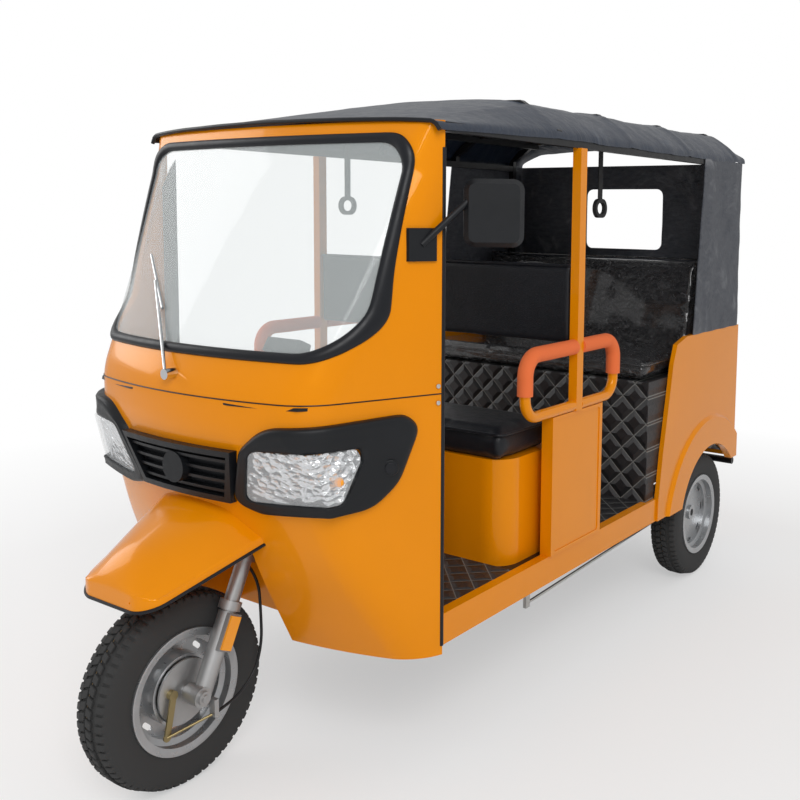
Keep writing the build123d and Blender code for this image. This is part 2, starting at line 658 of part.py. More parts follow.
def hoop_path(end_y, drop):
    """Tube centre line from the pillar to end_y and down by drop."""
    face_y = PILLAR_Y + (PILLAR_DEPTH / 2 if end_y > PILLAR_Y else -PILLAR_DEPTH / 2)
    with BuildLine() as path:
        if drop < HOOP_TOP_Z - HOOP_LOW_Z:
            FilletPolyline((HOOP_X, face_y, HOOP_TOP_Z), (HOOP_X, end_y, HOOP_TOP_Z),
                           (HOOP_X, end_y, HOOP_TOP_Z - HOOP_BEND_R - drop), radius=HOOP_BEND_R)
        else:
            FilletPolyline((HOOP_X, face_y, HOOP_TOP_Z), (HOOP_X, end_y, HOOP_TOP_Z),
                           (HOOP_X, end_y, HOOP_LOW_Z), (HOOP_X, face_y, HOOP_LOW_Z),
                           radius=HOOP_BEND_R)
    return path.line


with BuildPart() as grab_hoops:
    for end_y in (HOOP_FRONT_Y, HOOP_REAR_Y):
        hoop_line = hoop_path(end_y, HOOP_TOP_Z - HOOP_LOW_Z)
        with BuildSketch(Plane(origin=hoop_line @ 0, z_dir=hoop_line % 0)):
            Circle(HOOP_R)
        sweep(path=hoop_line)
    mirror(about=Plane.YZ)
finish(grab_hoops.part, "grab_hoops")

with BuildPart() as hoop_grips:
    for end_y in (HOOP_FRONT_Y, HOOP_REAR_Y):
        grip_line = hoop_path(end_y, GRIP_DROP)
        with BuildSketch(Plane(origin=grip_line @ 0, z_dir=grip_line % 0)):
            Circle(GRIP_FOAM_R)
            Circle(HOOP_R, mode=Mode.SUBTRACT)
        sweep(path=grip_line)
    mirror(about=Plane.YZ)
finish(hoop_grips.part, "hoop_grips")


# Canopy sections: outline from the flap over the crease, shoulder and crown
def canopy_outline(heights, inset, below=0.0):
    """Closed outline of one canopy section, moved in by inset and open below."""
    flap_z, crease_z, shoulder_z, crown_z = heights
    side = ((CANOPY_HALF - inset, flap_z - below), (CANOPY_HALF - inset, flap_z + FLAP_H),
            (CREASE_X - inset * 0.6, crease_z - inset), (SHOULDER_X, shoulder_z - inset))
    left = [(-x, z) for x, z in reversed(side)]
    return [*side, (0, crown_z - inset), *left]


CANOPY_SECTIONS = (
    (CANOPY_FRONT_Y, CANOPY_FRONT),
    (FIRST_BOW_Y, CANOPY_FIRST_BOW),
    (REAR_BOW_Y, CANOPY_REAR_BOW),
    (CANOPY_REAR_Y, CANOPY_REAR),
)


def canopy_body(inset, below, rear_inset):
    """Solid under the canopy's faces, moved in by inset."""
    with BuildPart() as body:
        for station, heights in CANOPY_SECTIONS:
            station -= rear_inset if station == CANOPY_REAR_Y else 0
            with BuildSketch(Plane.XZ.offset(-station)):
                with BuildLine():
                    Polyline(*canopy_outline(heights, inset, below), close=True)
                make_face()
        loft(ruled=True)
    return body.part


with BuildPart() as roof_canopy:
    add(canopy_body(0, 0, 0))
    add(canopy_body(CANOPY_T, 5, CANOPY_T), mode=Mode.SUBTRACT)
    add(lean_solid(COWL_LEANS[0], GASKET_PROUD), mode=Mode.INTERSECT)
finish(roof_canopy.part, "roof_canopy")

# Roof frame: corner posts, header, side rails, bows and rear posts
RAIL_IN_X = ROOF_RAIL_OUT_X - ROOF_TUBE
BOW_GAP = CANOPY_T + FIT_GAP
with BuildPart() as roof_frame:
    for side in (-1, 1):
        span_box((side * POST_OUT_X, side * (POST_OUT_X - POST_W)),
                 (COWL_REAR_Y - POST_W, COWL_REAR_Y), (PAN_TOP_Z, RAIL_TOP_Z))
    add(cowl_block(-SHEET), mode=Mode.INTERSECT)
    for side in (-1, 1):
        span_box((side * ROOF_RAIL_OUT_X, side * RAIL_IN_X), (COWL_REAR_Y, REAR_BOW_Y),
                 (RAIL_TOP_Z - ROOF_TUBE, RAIL_TOP_Z))
        span_box((side * (REAR_HALF - 4), side * (REAR_HALF - 4 - ROOF_TUBE)),
                 (REAR_BOW_Y - ROOF_TUBE, REAR_BOW_Y), (REAR_BODY_TOP_Z, RAIL_TOP_Z))
        span_box((side * (LONGERON_X - ROOF_TUBE / 2), side * (LONGERON_X + ROOF_TUBE / 2)),
                 (FIRST_BOW_Y, REAR_BOW_Y), (LONGERON_TOP_Z - ROOF_TUBE, LONGERON_TOP_Z))
    span_box((-ROOF_RAIL_OUT_X, ROOF_RAIL_OUT_X), (COWL_REAR_Y, COWL_REAR_Y + ROOF_TUBE),
             (RAIL_TOP_Z - ROOF_TUBE, RAIL_TOP_Z))
    for number in range(BOW_COUNT):
        share = number / (BOW_COUNT - 1)
        bow_y = FIRST_BOW_Y + (REAR_BOW_Y - FIRST_BOW_Y) * share
        bow_heights = [low + (high - low) * share
                       for low, high in zip(CANOPY_FIRST_BOW, CANOPY_REAR_BOW)]
        outer = [(x, z) for x, z in canopy_outline(bow_heights, BOW_GAP) if z > RAIL_TOP_Z - 5]
        inner = [(x, z) for x, z in canopy_outline(bow_heights, BOW_GAP + ROOF_TUBE)
                 if z > RAIL_TOP_Z - 5]
        bow_plane = Plane.XZ.offset(-(bow_y + (0 if number == BOW_COUNT - 1 else ROOF_TUBE)))
        with BuildSketch(bow_plane):
            with BuildLine():
                Polyline((ROOF_RAIL_OUT_X, RAIL_TOP_Z - 5), *outer, (-ROOF_RAIL_OUT_X, RAIL_TOP_Z - 5),
                         close=True)
            make_face()
            with BuildLine():
                Polyline((RAIL_IN_X, RAIL_TOP_Z - 5), *inner, (-RAIL_IN_X, RAIL_TOP_Z - 5), close=True)
            make_face(mode=Mode.SUBTRACT)
        extrude(amount=ROOF_TUBE)
finish(roof_frame.part, "roof_frame")

# Rear curtain: sides and back of the roof's cloth, with a window in the back
with BuildPart() as rear_curtain:
    with BuildSketch(Plane.XY.offset(REAR_BODY_TOP_Z)) as ring:
        with Locations((0, CURTAIN_REAR_Y - 500)):
            Rectangle(2 * CANOPY_HALF, 1000)
        fillet(ring.vertices().group_by(Axis.Y)[-1], CURTAIN_CORNER_R)
        offset(amount=-CURTAIN_T, mode=Mode.SUBTRACT)
    extrude(amount=FLAP_Z - FIT_GAP - REAR_BODY_TOP_Z)
    with BuildSketch(Plane.YZ.offset(-900)):
        with BuildLine():
            Polyline((CURTAIN_LOW_FRONT_Y, REAR_BODY_TOP_Z), (CURTAIN_TOP_FRONT_Y, FLAP_Z),
                     (REAR_AXLE_Y - 900, FLAP_Z), (REAR_AXLE_Y - 900, REAR_BODY_TOP_Z), close=True)
        make_face()
    extrude(amount=1800, mode=Mode.SUBTRACT)
    with BuildSketch(Plane.XZ.offset(-CURTAIN_REAR_Y - 50)) as window:
        with Locations((0, (WINDOW_BOTTOM_Z + WINDOW_TOP_Z) / 2)):
            RectangleRounded(2 * WINDOW_HALF, WINDOW_TOP_Z - WINDOW_BOTTOM_Z, WINDOW_CORNER_R)
    extrude(amount=100, mode=Mode.SUBTRACT)
finish(rear_curtain.part, "rear_curtain")

# Rear side panels: concentric wheel arch with a raised lip, and a pressed field
with BuildPart() as rear_sides:
    with BuildSketch(Plane.YZ.offset(REAR_HALF - REAR_BODY_T)):
        with BuildLine():
            Polyline(*[(REAR_AXLE_Y - ahead, z) for ahead, z in REAR_EDGE],
                     (REAR_BODY_REAR_Y, REAR_BODY_TOP_Z), (REAR_BODY_REAR_Y, REAR_SKIRT_Z),
                     (REAR_AXLE_Y, REAR_SKIRT_Z), (REAR_AXLE_Y, REAR_EDGE[0][1]), close=True)
        make_face()
    extrude(amount=REAR_BODY_T)
    with BuildSketch(Plane.YZ.offset(REAR_HALF)):
        with Locations((REAR_AXLE_Y, TYRE_R)):
            Circle(ARCH_BULGE_R)
    extrude(amount=ARCH_BULGE, taper=45)
    span_box((REAR_HALF, REAR_HALF + 50), (REAR_BODY_REAR_Y, REAR_BODY_REAR_Y + 300), (-300, 1000),
             mode=Mode.SUBTRACT)
    span_box((REAR_HALF, REAR_HALF + 50), (REAR_AXLE_Y, REAR_AXLE_Y + 600), (-300, REAR_SKIRT_Z),
             mode=Mode.SUBTRACT)
    span_box((REAR_HALF, REAR_HALF + 50), (REAR_AXLE_Y - 600, REAR_AXLE_Y), (-300, REAR_EDGE[0][1]),
             mode=Mode.SUBTRACT)
    with BuildSketch(Plane.YZ.offset(REAR_HALF - 100)):
        with Locations((REAR_AXLE_Y, TYRE_R)):
            Circle(REAR_ARCH_R)
    extrude(amount=200, mode=Mode.SUBTRACT)
    mirror(about=Plane.YZ)
finish(rear_sides.part, "rear_sides")

# Rear panel between the side panels, with the number plate's two holes
REAR_IN_X = REAR_HALF - REAR_BODY_T
with BuildPart() as rear_panel:
    span_box((-REAR_IN_X, REAR_IN_X), (REAR_BODY_REAR_Y - REAR_BODY_T, REAR_BODY_REAR_Y),
             (REAR_SKIRT_Z, REAR_BODY_TOP_Z))
    with BuildSketch(Plane.XZ.offset(-REAR_BODY_REAR_Y)):
        with Locations((0, PLATE_Z)):
            with GridLocations(PLATE_HOLE_SPACING, 1, 2, 1):
                Circle(PLATE_HOLE_R)
    extrude(amount=REAR_BODY_T, mode=Mode.SUBTRACT)
finish(rear_panel.part, "rear_panel")

# Tail lamps on the rear panel
with BuildPart() as tail_lamps:
    with BuildSketch(Plane.XZ.offset(-REAR_BODY_REAR_Y)) as lamp_face:
        with Locations((TAIL_LAMP_X, TAIL_LAMP_Z)):
            RectangleRounded(TAIL_LAMP_W, TAIL_LAMP_H, 14)
    extrude(amount=-TAIL_LAMP_T)
    mirror(about=Plane.YZ)
finish(tail_lamps.part, "tail_lamps")

# Driver's bench: painted box, cushion, and the board between the B-pillars
with BuildPart() as driver_seat_base:
    with BuildSketch(Plane.XY.offset(PAN_TOP_Z)) as base_plan:
        with Locations((0, (DRIVER_BASE_FRONT_Y + DRIVER_BASE_REAR_Y) / 2)):
            Rectangle(2 * DRIVER_BASE_HALF, DRIVER_BASE_REAR_Y - DRIVER_BASE_FRONT_Y)
        fillet(base_plan.vertices().group_by(Axis.Y)[0], DRIVER_BASE_CORNER_R)
    extrude(amount=DRIVER_BASE_TOP_Z - PAN_TOP_Z)
finish(driver_seat_base.part, "driver_seat_base")

with BuildPart() as driver_cushion:
    with BuildSketch(Plane.XY.offset(DRIVER_BASE_TOP_Z)) as cushion_plan:
        with Locations((0, (DRIVER_CUSHION_FRONT_Y + DRIVER_BASE_REAR_Y) / 2)):
            RectangleRounded(2 * DRIVER_CUSHION_HALF, DRIVER_BASE_REAR_Y - DRIVER_CUSHION_FRONT_Y, 50)
    extrude(amount=DRIVER_CUSHION_T)
    fillet(driver_cushion.faces().sort_by(Axis.Z)[-1].edges(), 22)
finish(driver_cushion.part, "driver_cushion")

with BuildPart() as driver_backrest:
    span_box((PILLAR_W - PILLAR_OUT_X, PILLAR_OUT_X - PILLAR_W),
             (PILLAR_Y - DRIVER_BACK_T / 2, PILLAR_Y + DRIVER_BACK_T / 2), DRIVER_BACK_Z)
    fillet(driver_backrest.edges().filter_by(Axis.X), 8)
finish(driver_backrest.part, "driver_backrest")

# Passenger bench: box with wheel housings, cushion and leaning backrest
with BuildPart() as passenger_seat_base:
    span_box((-BENCH_HALF, BENCH_HALF), (BENCH_FRONT_Y, BENCH_REAR_Y), (FLOOR_Z - MAT_T, BENCH_TOP_Z))
    for side in (-1, 1):
        with BuildSketch(Plane.YZ.offset(side * WHEELHOUSE_IN_X)):
            with Locations((REAR_AXLE_Y, TYRE_R)):
                Circle(WHEELHOUSE_R)
        extrude(amount=side * 400, mode=Mode.SUBTRACT)
        span_box((side * (PAN_HALF - 4), side * 900), (BENCH_FRONT_Y, SILL_REAR_Y), (0, SILL_TOP_Z),
                 mode=Mode.SUBTRACT)
        span_box((side * WHEELHOUSE_IN_X, side * 900), (SILL_REAR_Y, BENCH_REAR_Y), (0, TYRE_R + 245),
                 mode=Mode.SUBTRACT)
    with BuildPart(mode=Mode.PRIVATE) as hollow:
        span_box((-BENCH_HALF + BENCH_WALL, BENCH_HALF - BENCH_WALL),
                 (BENCH_FRONT_Y + BENCH_WALL, BENCH_REAR_Y - BENCH_WALL), (0, BENCH_TOP_Z - BENCH_WALL))
        for side in (-1, 1):
            with BuildSketch(Plane.YZ.offset(side * (WHEELHOUSE_IN_X - BENCH_WALL))):
                with Locations((REAR_AXLE_Y, TYRE_R)):
                    Circle(WHEELHOUSE_R + BENCH_WALL)
            extrude(amount=side * 400, mode=Mode.SUBTRACT)
            span_box((side * (WHEELHOUSE_IN_X - BENCH_WALL), side * 900),
                     (SILL_REAR_Y - BENCH_WALL, BENCH_REAR_Y), (0, TYRE_R + 245 + BENCH_WALL),
                     mode=Mode.SUBTRACT)
    add(hollow.part, mode=Mode.SUBTRACT)
finish(passenger_seat_base.part, "passenger_seat_base")

with BuildPart() as battery_pack:
    span_box((-BATTERY_W / 2, BATTERY_W / 2), (REAR_AXLE_Y - 120 - BATTERY_L, REAR_AXLE_Y - 120),
             (PAN_TOP_Z, PAN_TOP_Z + BATTERY_H))
finish(battery_pack.part, "battery_pack")

with BuildPart() as passenger_cushion:
    with BuildSketch(Plane.XY.offset(BENCH_TOP_Z)) as bench_plan:
        with Locations((0, BENCH_FRONT_Y - 10 + BENCH_CUSHION_DEPTH / 2)):
            RectangleRounded(2 * BENCH_HALF - 20, BENCH_CUSHION_DEPTH, 45)
    extrude(amount=BENCH_CUSHION_T)
    fillet(passenger_cushion.faces().sort_by(Axis.Z)[-1].edges(), 20)
finish(passenger_cushion.part, "passenger_cushion")

BENCH_BACK_FOOT_Y = BENCH_FRONT_Y + BENCH_CUSHION_DEPTH - 8
back_turn = radians(BENCH_BACK_LEAN)
back_plane = Plane(origin=(0, BENCH_BACK_FOOT_Y, BENCH_TOP_Z + FIT_GAP), x_dir=(1, 0, 0),
                   z_dir=(0, sin(back_turn), cos(back_turn)))
with BuildPart() as passenger_backrest:
    with BuildSketch(back_plane):
        with Locations((0, BENCH_BACK_T / 2)):
            RectangleRounded(2 * BENCH_HALF - 20, BENCH_BACK_T, 30)
    extrude(amount=(BENCH_BACK_TOP_Z - BENCH_TOP_Z) / cos(back_turn))
    span_box((-900, 900), (BENCH_BACK_FOOT_Y - 300, BENCH_BACK_FOOT_Y + 500), (0, BENCH_TOP_Z + FIT_GAP),
             mode=Mode.SUBTRACT)
finish(passenger_backrest.part, "passenger_backrest")

# Rear axle: tube, motor housing, brake backplates and stub shafts
with BuildPart() as rear_axle:
    rod((-BACKPLATE_X[0], REAR_AXLE_Y, TYRE_R), (BACKPLATE_X[0], REAR_AXLE_Y, TYRE_R), AXLE_TUBE_R)
    rod((-MOTOR_W / 2, REAR_AXLE_Y, TYRE_R), (MOTOR_W / 2, REAR_AXLE_Y, TYRE_R), MOTOR_R)
    for side in (-1, 1):
        rod((side * BACKPLATE_X[0], REAR_AXLE_Y, TYRE_R), (side * BACKPLATE_X[1], REAR_AXLE_Y, TYRE_R),
            BACKPLATE_R)
        rod((side * BACKPLATE_X[1], REAR_AXLE_Y, TYRE_R), (side * (REAR_TRACK_HALF + 20), REAR_AXLE_Y, TYRE_R),
            REAR_SHAFT_R)
finish(rear_axle.part, "rear_axle")

# Leaf springs above the axle tube, hung from the rails by plates at both eyes
SPRING_FLOOR_Z = TYRE_R + AXLE_TUBE_R
with BuildPart() as leaf_springs:
    for leaf in range(SPRING_LEAVES):
        leaf_half = SPRING_HALF_L * (1 - 0.25 * (SPRING_LEAVES - 1 - leaf))
        leaf_rise = SPRING_RISE * (leaf_half / SPRING_HALF_L) ** 2
        leaf_z = SPRING_FLOOR_Z + leaf * SPRING_LEAF_T
        with BuildSketch(Plane.YZ.offset(RAIL_X - SPRING_W / 2)):
            with BuildLine():
                ThreePointArc((REAR_AXLE_Y - leaf_half, leaf_z + leaf_rise), (REAR_AXLE_Y, leaf_z),
                              (REAR_AXLE_Y + leaf_half, leaf_z + leaf_rise))
                Line((REAR_AXLE_Y + leaf_half, leaf_z + leaf_rise),
                     (REAR_AXLE_Y + leaf_half, leaf_z + leaf_rise + SPRING_LEAF_T))
                ThreePointArc((REAR_AXLE_Y + leaf_half, leaf_z + leaf_rise + SPRING_LEAF_T),
                              (REAR_AXLE_Y, leaf_z + SPRING_LEAF_T),
                              (REAR_AXLE_Y - leaf_half, leaf_z + leaf_rise + SPRING_LEAF_T))
                Line((REAR_AXLE_Y - leaf_half, leaf_z + leaf_rise + SPRING_LEAF_T),
                     (REAR_AXLE_Y - leaf_half, leaf_z + leaf_rise))
            make_face()
        extrude(amount=SPRING_W)
    for end in (-1, 1):
        span_box((RAIL_X - SPRING_W / 2, RAIL_X + SPRING_W / 2),
                 (REAR_AXLE_Y + end * SPRING_HALF_L, REAR_AXLE_Y + end * (SPRING_HALF_L - 26)),
                 (SPRING_FLOOR_Z + 2 * SPRING_LEAF_T + SPRING_RISE - 10, RAIL_BOTTOM_Z))
    add(rear_axle.part, mode=Mode.SUBTRACT)
    mirror(about=Plane.YZ)
finish(leaf_springs.part, "leaf_springs")

# Brake rods under the floor, from a hanger on the frame to the rear backplates
ROD_FRONT = (ROD_X, FRONT_AXLE_Y + 1125.0, 205.0)
ROD_REAR = (ROD_X, REAR_AXLE_Y - 60.0, 236.0)
with BuildPart() as brake_rods:
    rod(ROD_FRONT, ROD_REAR, ROD_R)
    span_box((ROD_X - 6, ROD_X + 6), (ROD_FRONT[1] - 12, ROD_FRONT[1] + 12),
             (ROD_FRONT[2] - 14, CROSS_BOTTOM_Z))
    span_box((ROD_X - 6, BACKPLATE_X[0]), (ROD_REAR[1] - 12, ROD_REAR[1] + 12),
             (ROD_REAR[2] - 14, ROD_REAR[2] + 14))
    mirror(about=Plane.YZ)
finish(brake_rods.part, "brake_rods")

# Rear bumper tube across the rail ends
with BuildPart() as rear_bumper:
    rod((-BUMPER_HALF, BUMPER_Y, BUMPER_Z), (BUMPER_HALF, BUMPER_Y, BUMPER_Z), BUMPER_R)
    add(chassis_frame.part, mode=Mode.SUBTRACT)
    add(rear_panel.part, mode=Mode.SUBTRACT)
finish(rear_bumper.part, "rear_bumper")


# Wheels: a solid ring of tyre on a pressed rim; the drum stands inside the rim's disc
def wheel_plane(side_x, axle_y):
    """Plane through the wheel's axis: along it, and up from it."""
    return Plane(origin=(side_x, axle_y, TYRE_R), x_dir=(1, 0, 0), z_dir=(0, -1, 0))


# Each row: one corner of the tyre's side, from the wheel's middle plane and from the axle
TYRE_SIDE = ((TYRE_HALF_W - 1, TYRE_R - 70), (TYRE_HALF_W, TYRE_R - 45), (TYRE_HALF_W - 4, TYRE_R - 22),
             (TREAD_HALF_W, TYRE_R - 9))


def tyre_body(plane):
    """Tyre turned about the plane's own first axis."""
    bead = FLANGE_IN_X - FIT_GAP
    with BuildPart() as tyre:
        with BuildSketch(plane):
            with BuildLine():
                Line((-bead, BEAD_SEAT_R + FIT_GAP), (bead, BEAD_SEAT_R + FIT_GAP))
                Polyline((bead, BEAD_SEAT_R + FIT_GAP), (bead, RIM_FLANGE_R + 2), *TYRE_SIDE)
                ThreePointArc(TYRE_SIDE[-1], (0, TYRE_R), (-TYRE_SIDE[-1][0], TYRE_SIDE[-1][1]))
                Polyline(*[(-x, r) for x, r in reversed(TYRE_SIDE)], (-bead, RIM_FLANGE_R + 2),
                         (-bead, BEAD_SEAT_R + FIT_GAP))
            make_face()
        revolve(axis=Axis(plane.origin, plane.x_dir))
    return tyre.part


def rim_body(plane, outward, drum_x, drum_r, disc_x, hub_x, hub_r, bore_r):
    """Rim turned about the plane's axis; outward is the side, +1 or -1, that the disc faces."""
    rings = (
        # Each row: two corners of one turned ring, along the axis and from it
        ((disc_x, drum_r[1] - 1), (disc_x + RIM_T, WELL_R)),
        ((drum_x, drum_r[0]), (disc_x + RIM_T, drum_r[1])),
        ((disc_x, hub_r - 1), (disc_x + RIM_T, drum_r[1])),
        ((hub_x[0], bore_r), (hub_x[1], hub_r)),
    )
    with BuildPart() as rim:
        with BuildSketch(plane):
            with BuildLine():
                Polyline((-RIM_HALF_W, RIM_FLANGE_R), (-FLANGE_IN_X, RIM_FLANGE_R),
                         (-FLANGE_IN_X, BEAD_SEAT_R), (-RIM_WELL_HALF - 6, BEAD_SEAT_R),
                         (-RIM_WELL_HALF, WELL_R), (RIM_WELL_HALF, WELL_R),
                         (RIM_WELL_HALF + 6, BEAD_SEAT_R), (FLANGE_IN_X, BEAD_SEAT_R),
                         (FLANGE_IN_X, RIM_FLANGE_R), (RIM_HALF_W, RIM_FLANGE_R),
                         (RIM_HALF_W, RIM_FLANGE_R - RIM_T), (RIM_HALF_W - 3, BEAD_SEAT_R - RIM_T),
                         (RIM_WELL_HALF + 10, BEAD_SEAT_R - RIM_T), (RIM_WELL_HALF + 4, WELL_R - RIM_T),
                         (-RIM_WELL_HALF - 4, WELL_R - RIM_T), (-RIM_WELL_HALF - 10, BEAD_SEAT_R - RIM_T),
                         (3 - RIM_HALF_W, BEAD_SEAT_R - RIM_T), (-RIM_HALF_W, RIM_FLANGE_R - RIM_T),
                         close=True)
            make_face()
            for low, high in rings:
                with Locations((outward * (low[0] + high[0]) / 2, (low[1] + high[1]) / 2)):
                    Rectangle(abs(high[0] - low[0]), high[1] - low[1])
        revolve(axis=Axis(plane.origin, plane.x_dir))
        slot_r = (drum_r[1] + WELL_R) / 2
        with BuildSketch(Plane(origin=plane.origin, x_dir=(0, 1, 0), z_dir=(1, 0, 0))):
            with PolarLocations(slot_r, RIM_SLOTS):
                SlotOverall(RIM_SLOT_L, RIM_SLOT_W, rotation=90)
        extrude(amount=RIM_HALF_W, both=True, mode=Mode.SUBTRACT)
    return rim.part


front_wheel_plane = wheel_plane(0, FRONT_AXLE_Y)
finish(tyre_body(front_wheel_plane), "front_tyre")
finish(rim_body(front_wheel_plane, 1, 37.0, DRUM_R, -12.0, (-HUB_HALF_W, 34.0), 24.0,
                FRONT_SHAFT_R + RUNNING_FIT), "front_rim")
for side, name in ((1, "rear_left"), (-1, "rear_right")):
    rear_plane = wheel_plane(side * REAR_TRACK_HALF, REAR_AXLE_Y)
    finish(tyre_body(rear_plane), f"{name}_tyre")
    finish(rim_body(rear_plane, side, BACKPLATE_X[1] + 5 - REAR_TRACK_HALF, REAR_DRUM_R, 8.0,
                    (-50.0, REAR_HUB_OUT), 30.0, REAR_SHAFT_R + RUNNING_FIT), f"{name}_rim")

# Steering: crown, stem and clamp in one piece
AXLE_LOCAL = steer_head.to_local_coords(Vector(0, FRONT_AXLE_Y, TYRE_R))
bar_plane = steer_head.offset(BAR_S)
with BuildPart() as steering_stem:
    with BuildSketch(steer_head.offset(CROWN_S[0])):
        RectangleRounded(2 * CROWN_HALF_W, 2 * CROWN_HALF_D, 12)
        with Locations((FORK_HALF, 0), (-FORK_HALF, 0)):
            Circle(STANCHION_R + RUNNING_FIT, mode=Mode.SUBTRACT)
    extrude(amount=CROWN_S[1] - CROWN_S[0])
    with BuildSketch(steer_head.offset(CROWN_S[1])):
        Circle(STEM_R - RUNNING_FIT)
    extrude(amount=CLAMP_S[0] - CROWN_S[1])
    with BuildSketch(steer_head.offset(CLAMP_S[0])):
        with Locations((0, BAR_CORNERS[-1][1] / 2)):
            RectangleRounded(2 * CLAMP_HALF_W, 50, 8)
    extrude(amount=CLAMP_S[1] - CLAMP_S[0])
    bar_mid = [tuple(bar_plane.from_local_coords((x, BAR_CORNERS[-1][1], 0)))
               for x in (-2 * CLAMP_HALF_W, 2 * CLAMP_HALF_W)]
    rod(*bar_mid, BAR_R + RUNNING_FIT, mode=Mode.SUBTRACT)
finish(steering_stem.part, "steering_stem")

# Cable stop on the left leg's foot, just ahead of where the cable starts
STOP_Y = (FRONT_AXLE_Y + CABLE_ROUTE[0][1] - 15, FRONT_AXLE_Y + CABLE_ROUTE[0][1] - 1.3)

# Fork legs: sliders, pinch clamps, stanchions, wrapped seals and axle bosses
with BuildPart() as fork_legs:
    leg_rings = (
        # Each row: where one ring starts and ends along the leg, and its radius
        (*SLIDER_S, SLIDER_R),
        (*PINCH_S, PINCH_R),
        (SLIDER_S[1], CROWN_S[1], STANCHION_R),
        (*SEAL_S, SEAL_R),
    )
    for low, high, radius in leg_rings:
        with BuildSketch(steer_head.offset(low)):
            with Locations((FORK_HALF, 0)):
                Circle(radius)
        extrude(amount=high - low)
    rod((FOOT_BOSS_X[0], FRONT_AXLE_Y, TYRE_R), (FOOT_BOSS_X[1], FRONT_AXLE_Y, TYRE_R), FOOT_BOSS_R)
    mirror(about=Plane.YZ)
    span_box((CABLE_ROUTE[0][0] - 14, CABLE_ROUTE[0][0] + 7), STOP_Y,
             (CABLE_ROUTE[0][2] - 9, CABLE_ROUTE[0][2] + 38))
    rod((-200, FRONT_AXLE_Y, TYRE_R), (200, FRONT_AXLE_Y, TYRE_R), FRONT_SHAFT_R + RUNNING_FIT,
        mode=Mode.SUBTRACT)
finish(fork_legs.part, "fork_legs")

# Front axle with its nuts and spacers, and the brake plate that it holds
with BuildPart() as front_spindle:
    spindle_rings = (
        # Each row: where one ring starts and ends across the vehicle, and its radius
        (-FOOT_BOSS_X[1] - NUT_T, FOOT_BOSS_X[1] + NUT_T, FRONT_SHAFT_R),
        (FOOT_BOSS_X[1], FOOT_BOSS_X[1] + NUT_T - 4, NUT_R),
        (-FOOT_BOSS_X[1], 4 - FOOT_BOSS_X[1] - NUT_T, NUT_R),
        (-FOOT_BOSS_X[0], -HUB_HALF_W - SIDE_PLAY, SPACER_R),
        (BRAKE_PLATE_X[0], FOOT_BOSS_X[0], SPACER_R),
        (*BRAKE_PLATE_X, BRAKE_PLATE_R),
    )
    for low, high, radius in spindle_rings:
        rod((low, FRONT_AXLE_Y, TYRE_R), (high, FRONT_AXLE_Y, TYRE_R), radius)
finish(front_spindle.part, "front_spindle")

# Brake arm on the plate, with the threaded rod to the cable's stop
ARM_PIVOT = (FRONT_AXLE_Y - 48.0, 269.0)
ARM_TIP = (FRONT_AXLE_Y - 70.0, 165.0)
ARM_X = (57.0, 62.0)
with BuildPart() as brake_arm:
    rod((BRAKE_PLATE_X[1], *ARM_PIVOT), (ARM_X[1], *ARM_PIVOT), 13)
    with BuildSketch(Plane.YZ.offset(ARM_X[0])):
        with BuildLine():
            arm_line = Line(ARM_PIVOT, ARM_TIP)
        SlotCenterToCenter(arm_line.length, 22, rotation=0, mode=Mode.PRIVATE)
        with Locations(ARM_PIVOT, ARM_TIP):
            Circle(11)
        with Locations(((ARM_PIVOT[0] + ARM_TIP[0]) / 2, (ARM_PIVOT[1] + ARM_TIP[1]) / 2)):
            Rectangle(arm_line.length, 18, rotation=arm_line.tangent_angle_at(0))
    extrude(amount=ARM_X[1] - ARM_X[0])
    rod((ARM_X[0] + 3, *ARM_TIP), (CABLE_ROUTE[0][0], STOP_Y[0] - 3, CABLE_ROUTE[0][2]), 3.5)
finish(brake_arm.part, "brake_arm")

# Front brake cable, clipped along the fork from its stop up to the crown
cable_points = [Vector(x, FRONT_AXLE_Y + station, z) for x, station, z in CABLE_ROUTE]
cable_points += [steer_head.from_local_coords((*CABLE_END, CROWN_S[0] - run)) for run in (CABLE_END_RUN, 0)]
cable_radii = []
for before, corner, after in zip(cable_points, cable_points[1:], cable_points[2:]):
    run_in, run_out = corner - before, after - corner
    half_turn = radians(run_in.get_angle(run_out)) / 2
    cable_radii.append(0.45 * min(run_in.length, run_out.length) / tan(half_turn))
print("cable radii", [round(radius) for radius in cable_radii])
with BuildPart() as brake_cable:
    with BuildLine() as cable_line:
        FilletPolyline(*cable_points, radius=cable_radii)
    with BuildSketch(Plane(origin=cable_line.line @ 0, z_dir=cable_line.line % 0)):
        Circle(CABLE_R)
    sweep(path=cable_line.line)
finish(brake_cable.part, "brake_cable")
cable_length = sum(edge.length for edge in cable_line.edges())
print("cable length", round(cable_length), "share of volume",
      round(brake_cable.part.volume / (cable_length * pi * CABLE_R**2), 4))

# Handlebar, swept back at its ends, with rubber grips and the instrument pod
bar_right = [(-x, y) for x, y in BAR_CORNERS]
bar_points = [*bar_right, *reversed(BAR_CORNERS)]
with BuildPart() as handlebar:
    with BuildLine(bar_plane) as bar_line:
        FilletPolyline(*bar_points, radius=BAR_BEND_R)
    with BuildSketch(Plane(origin=bar_line.line @ 0, z_dir=bar_line.line % 0)):
        Circle(BAR_R)
    sweep(path=bar_line.line)
finish(handlebar.part, "handlebar")

with BuildPart() as handlebar_grips:
    for end, away in ((0, 1), (1, -1)):
        grip_end = bar_line.line @ end
        grip_way = (bar_line.line % end) * away
        rod(tuple(grip_end - grip_way * 4), tuple(grip_end + grip_way * GRIP_L), GRIP_R)
        rod(tuple(grip_end), tuple(grip_end + grip_way * GRIP_L), BAR_R + RUNNING_FIT, mode=Mode.SUBTRACT)
finish(handlebar_grips.part, "handlebar_grips")

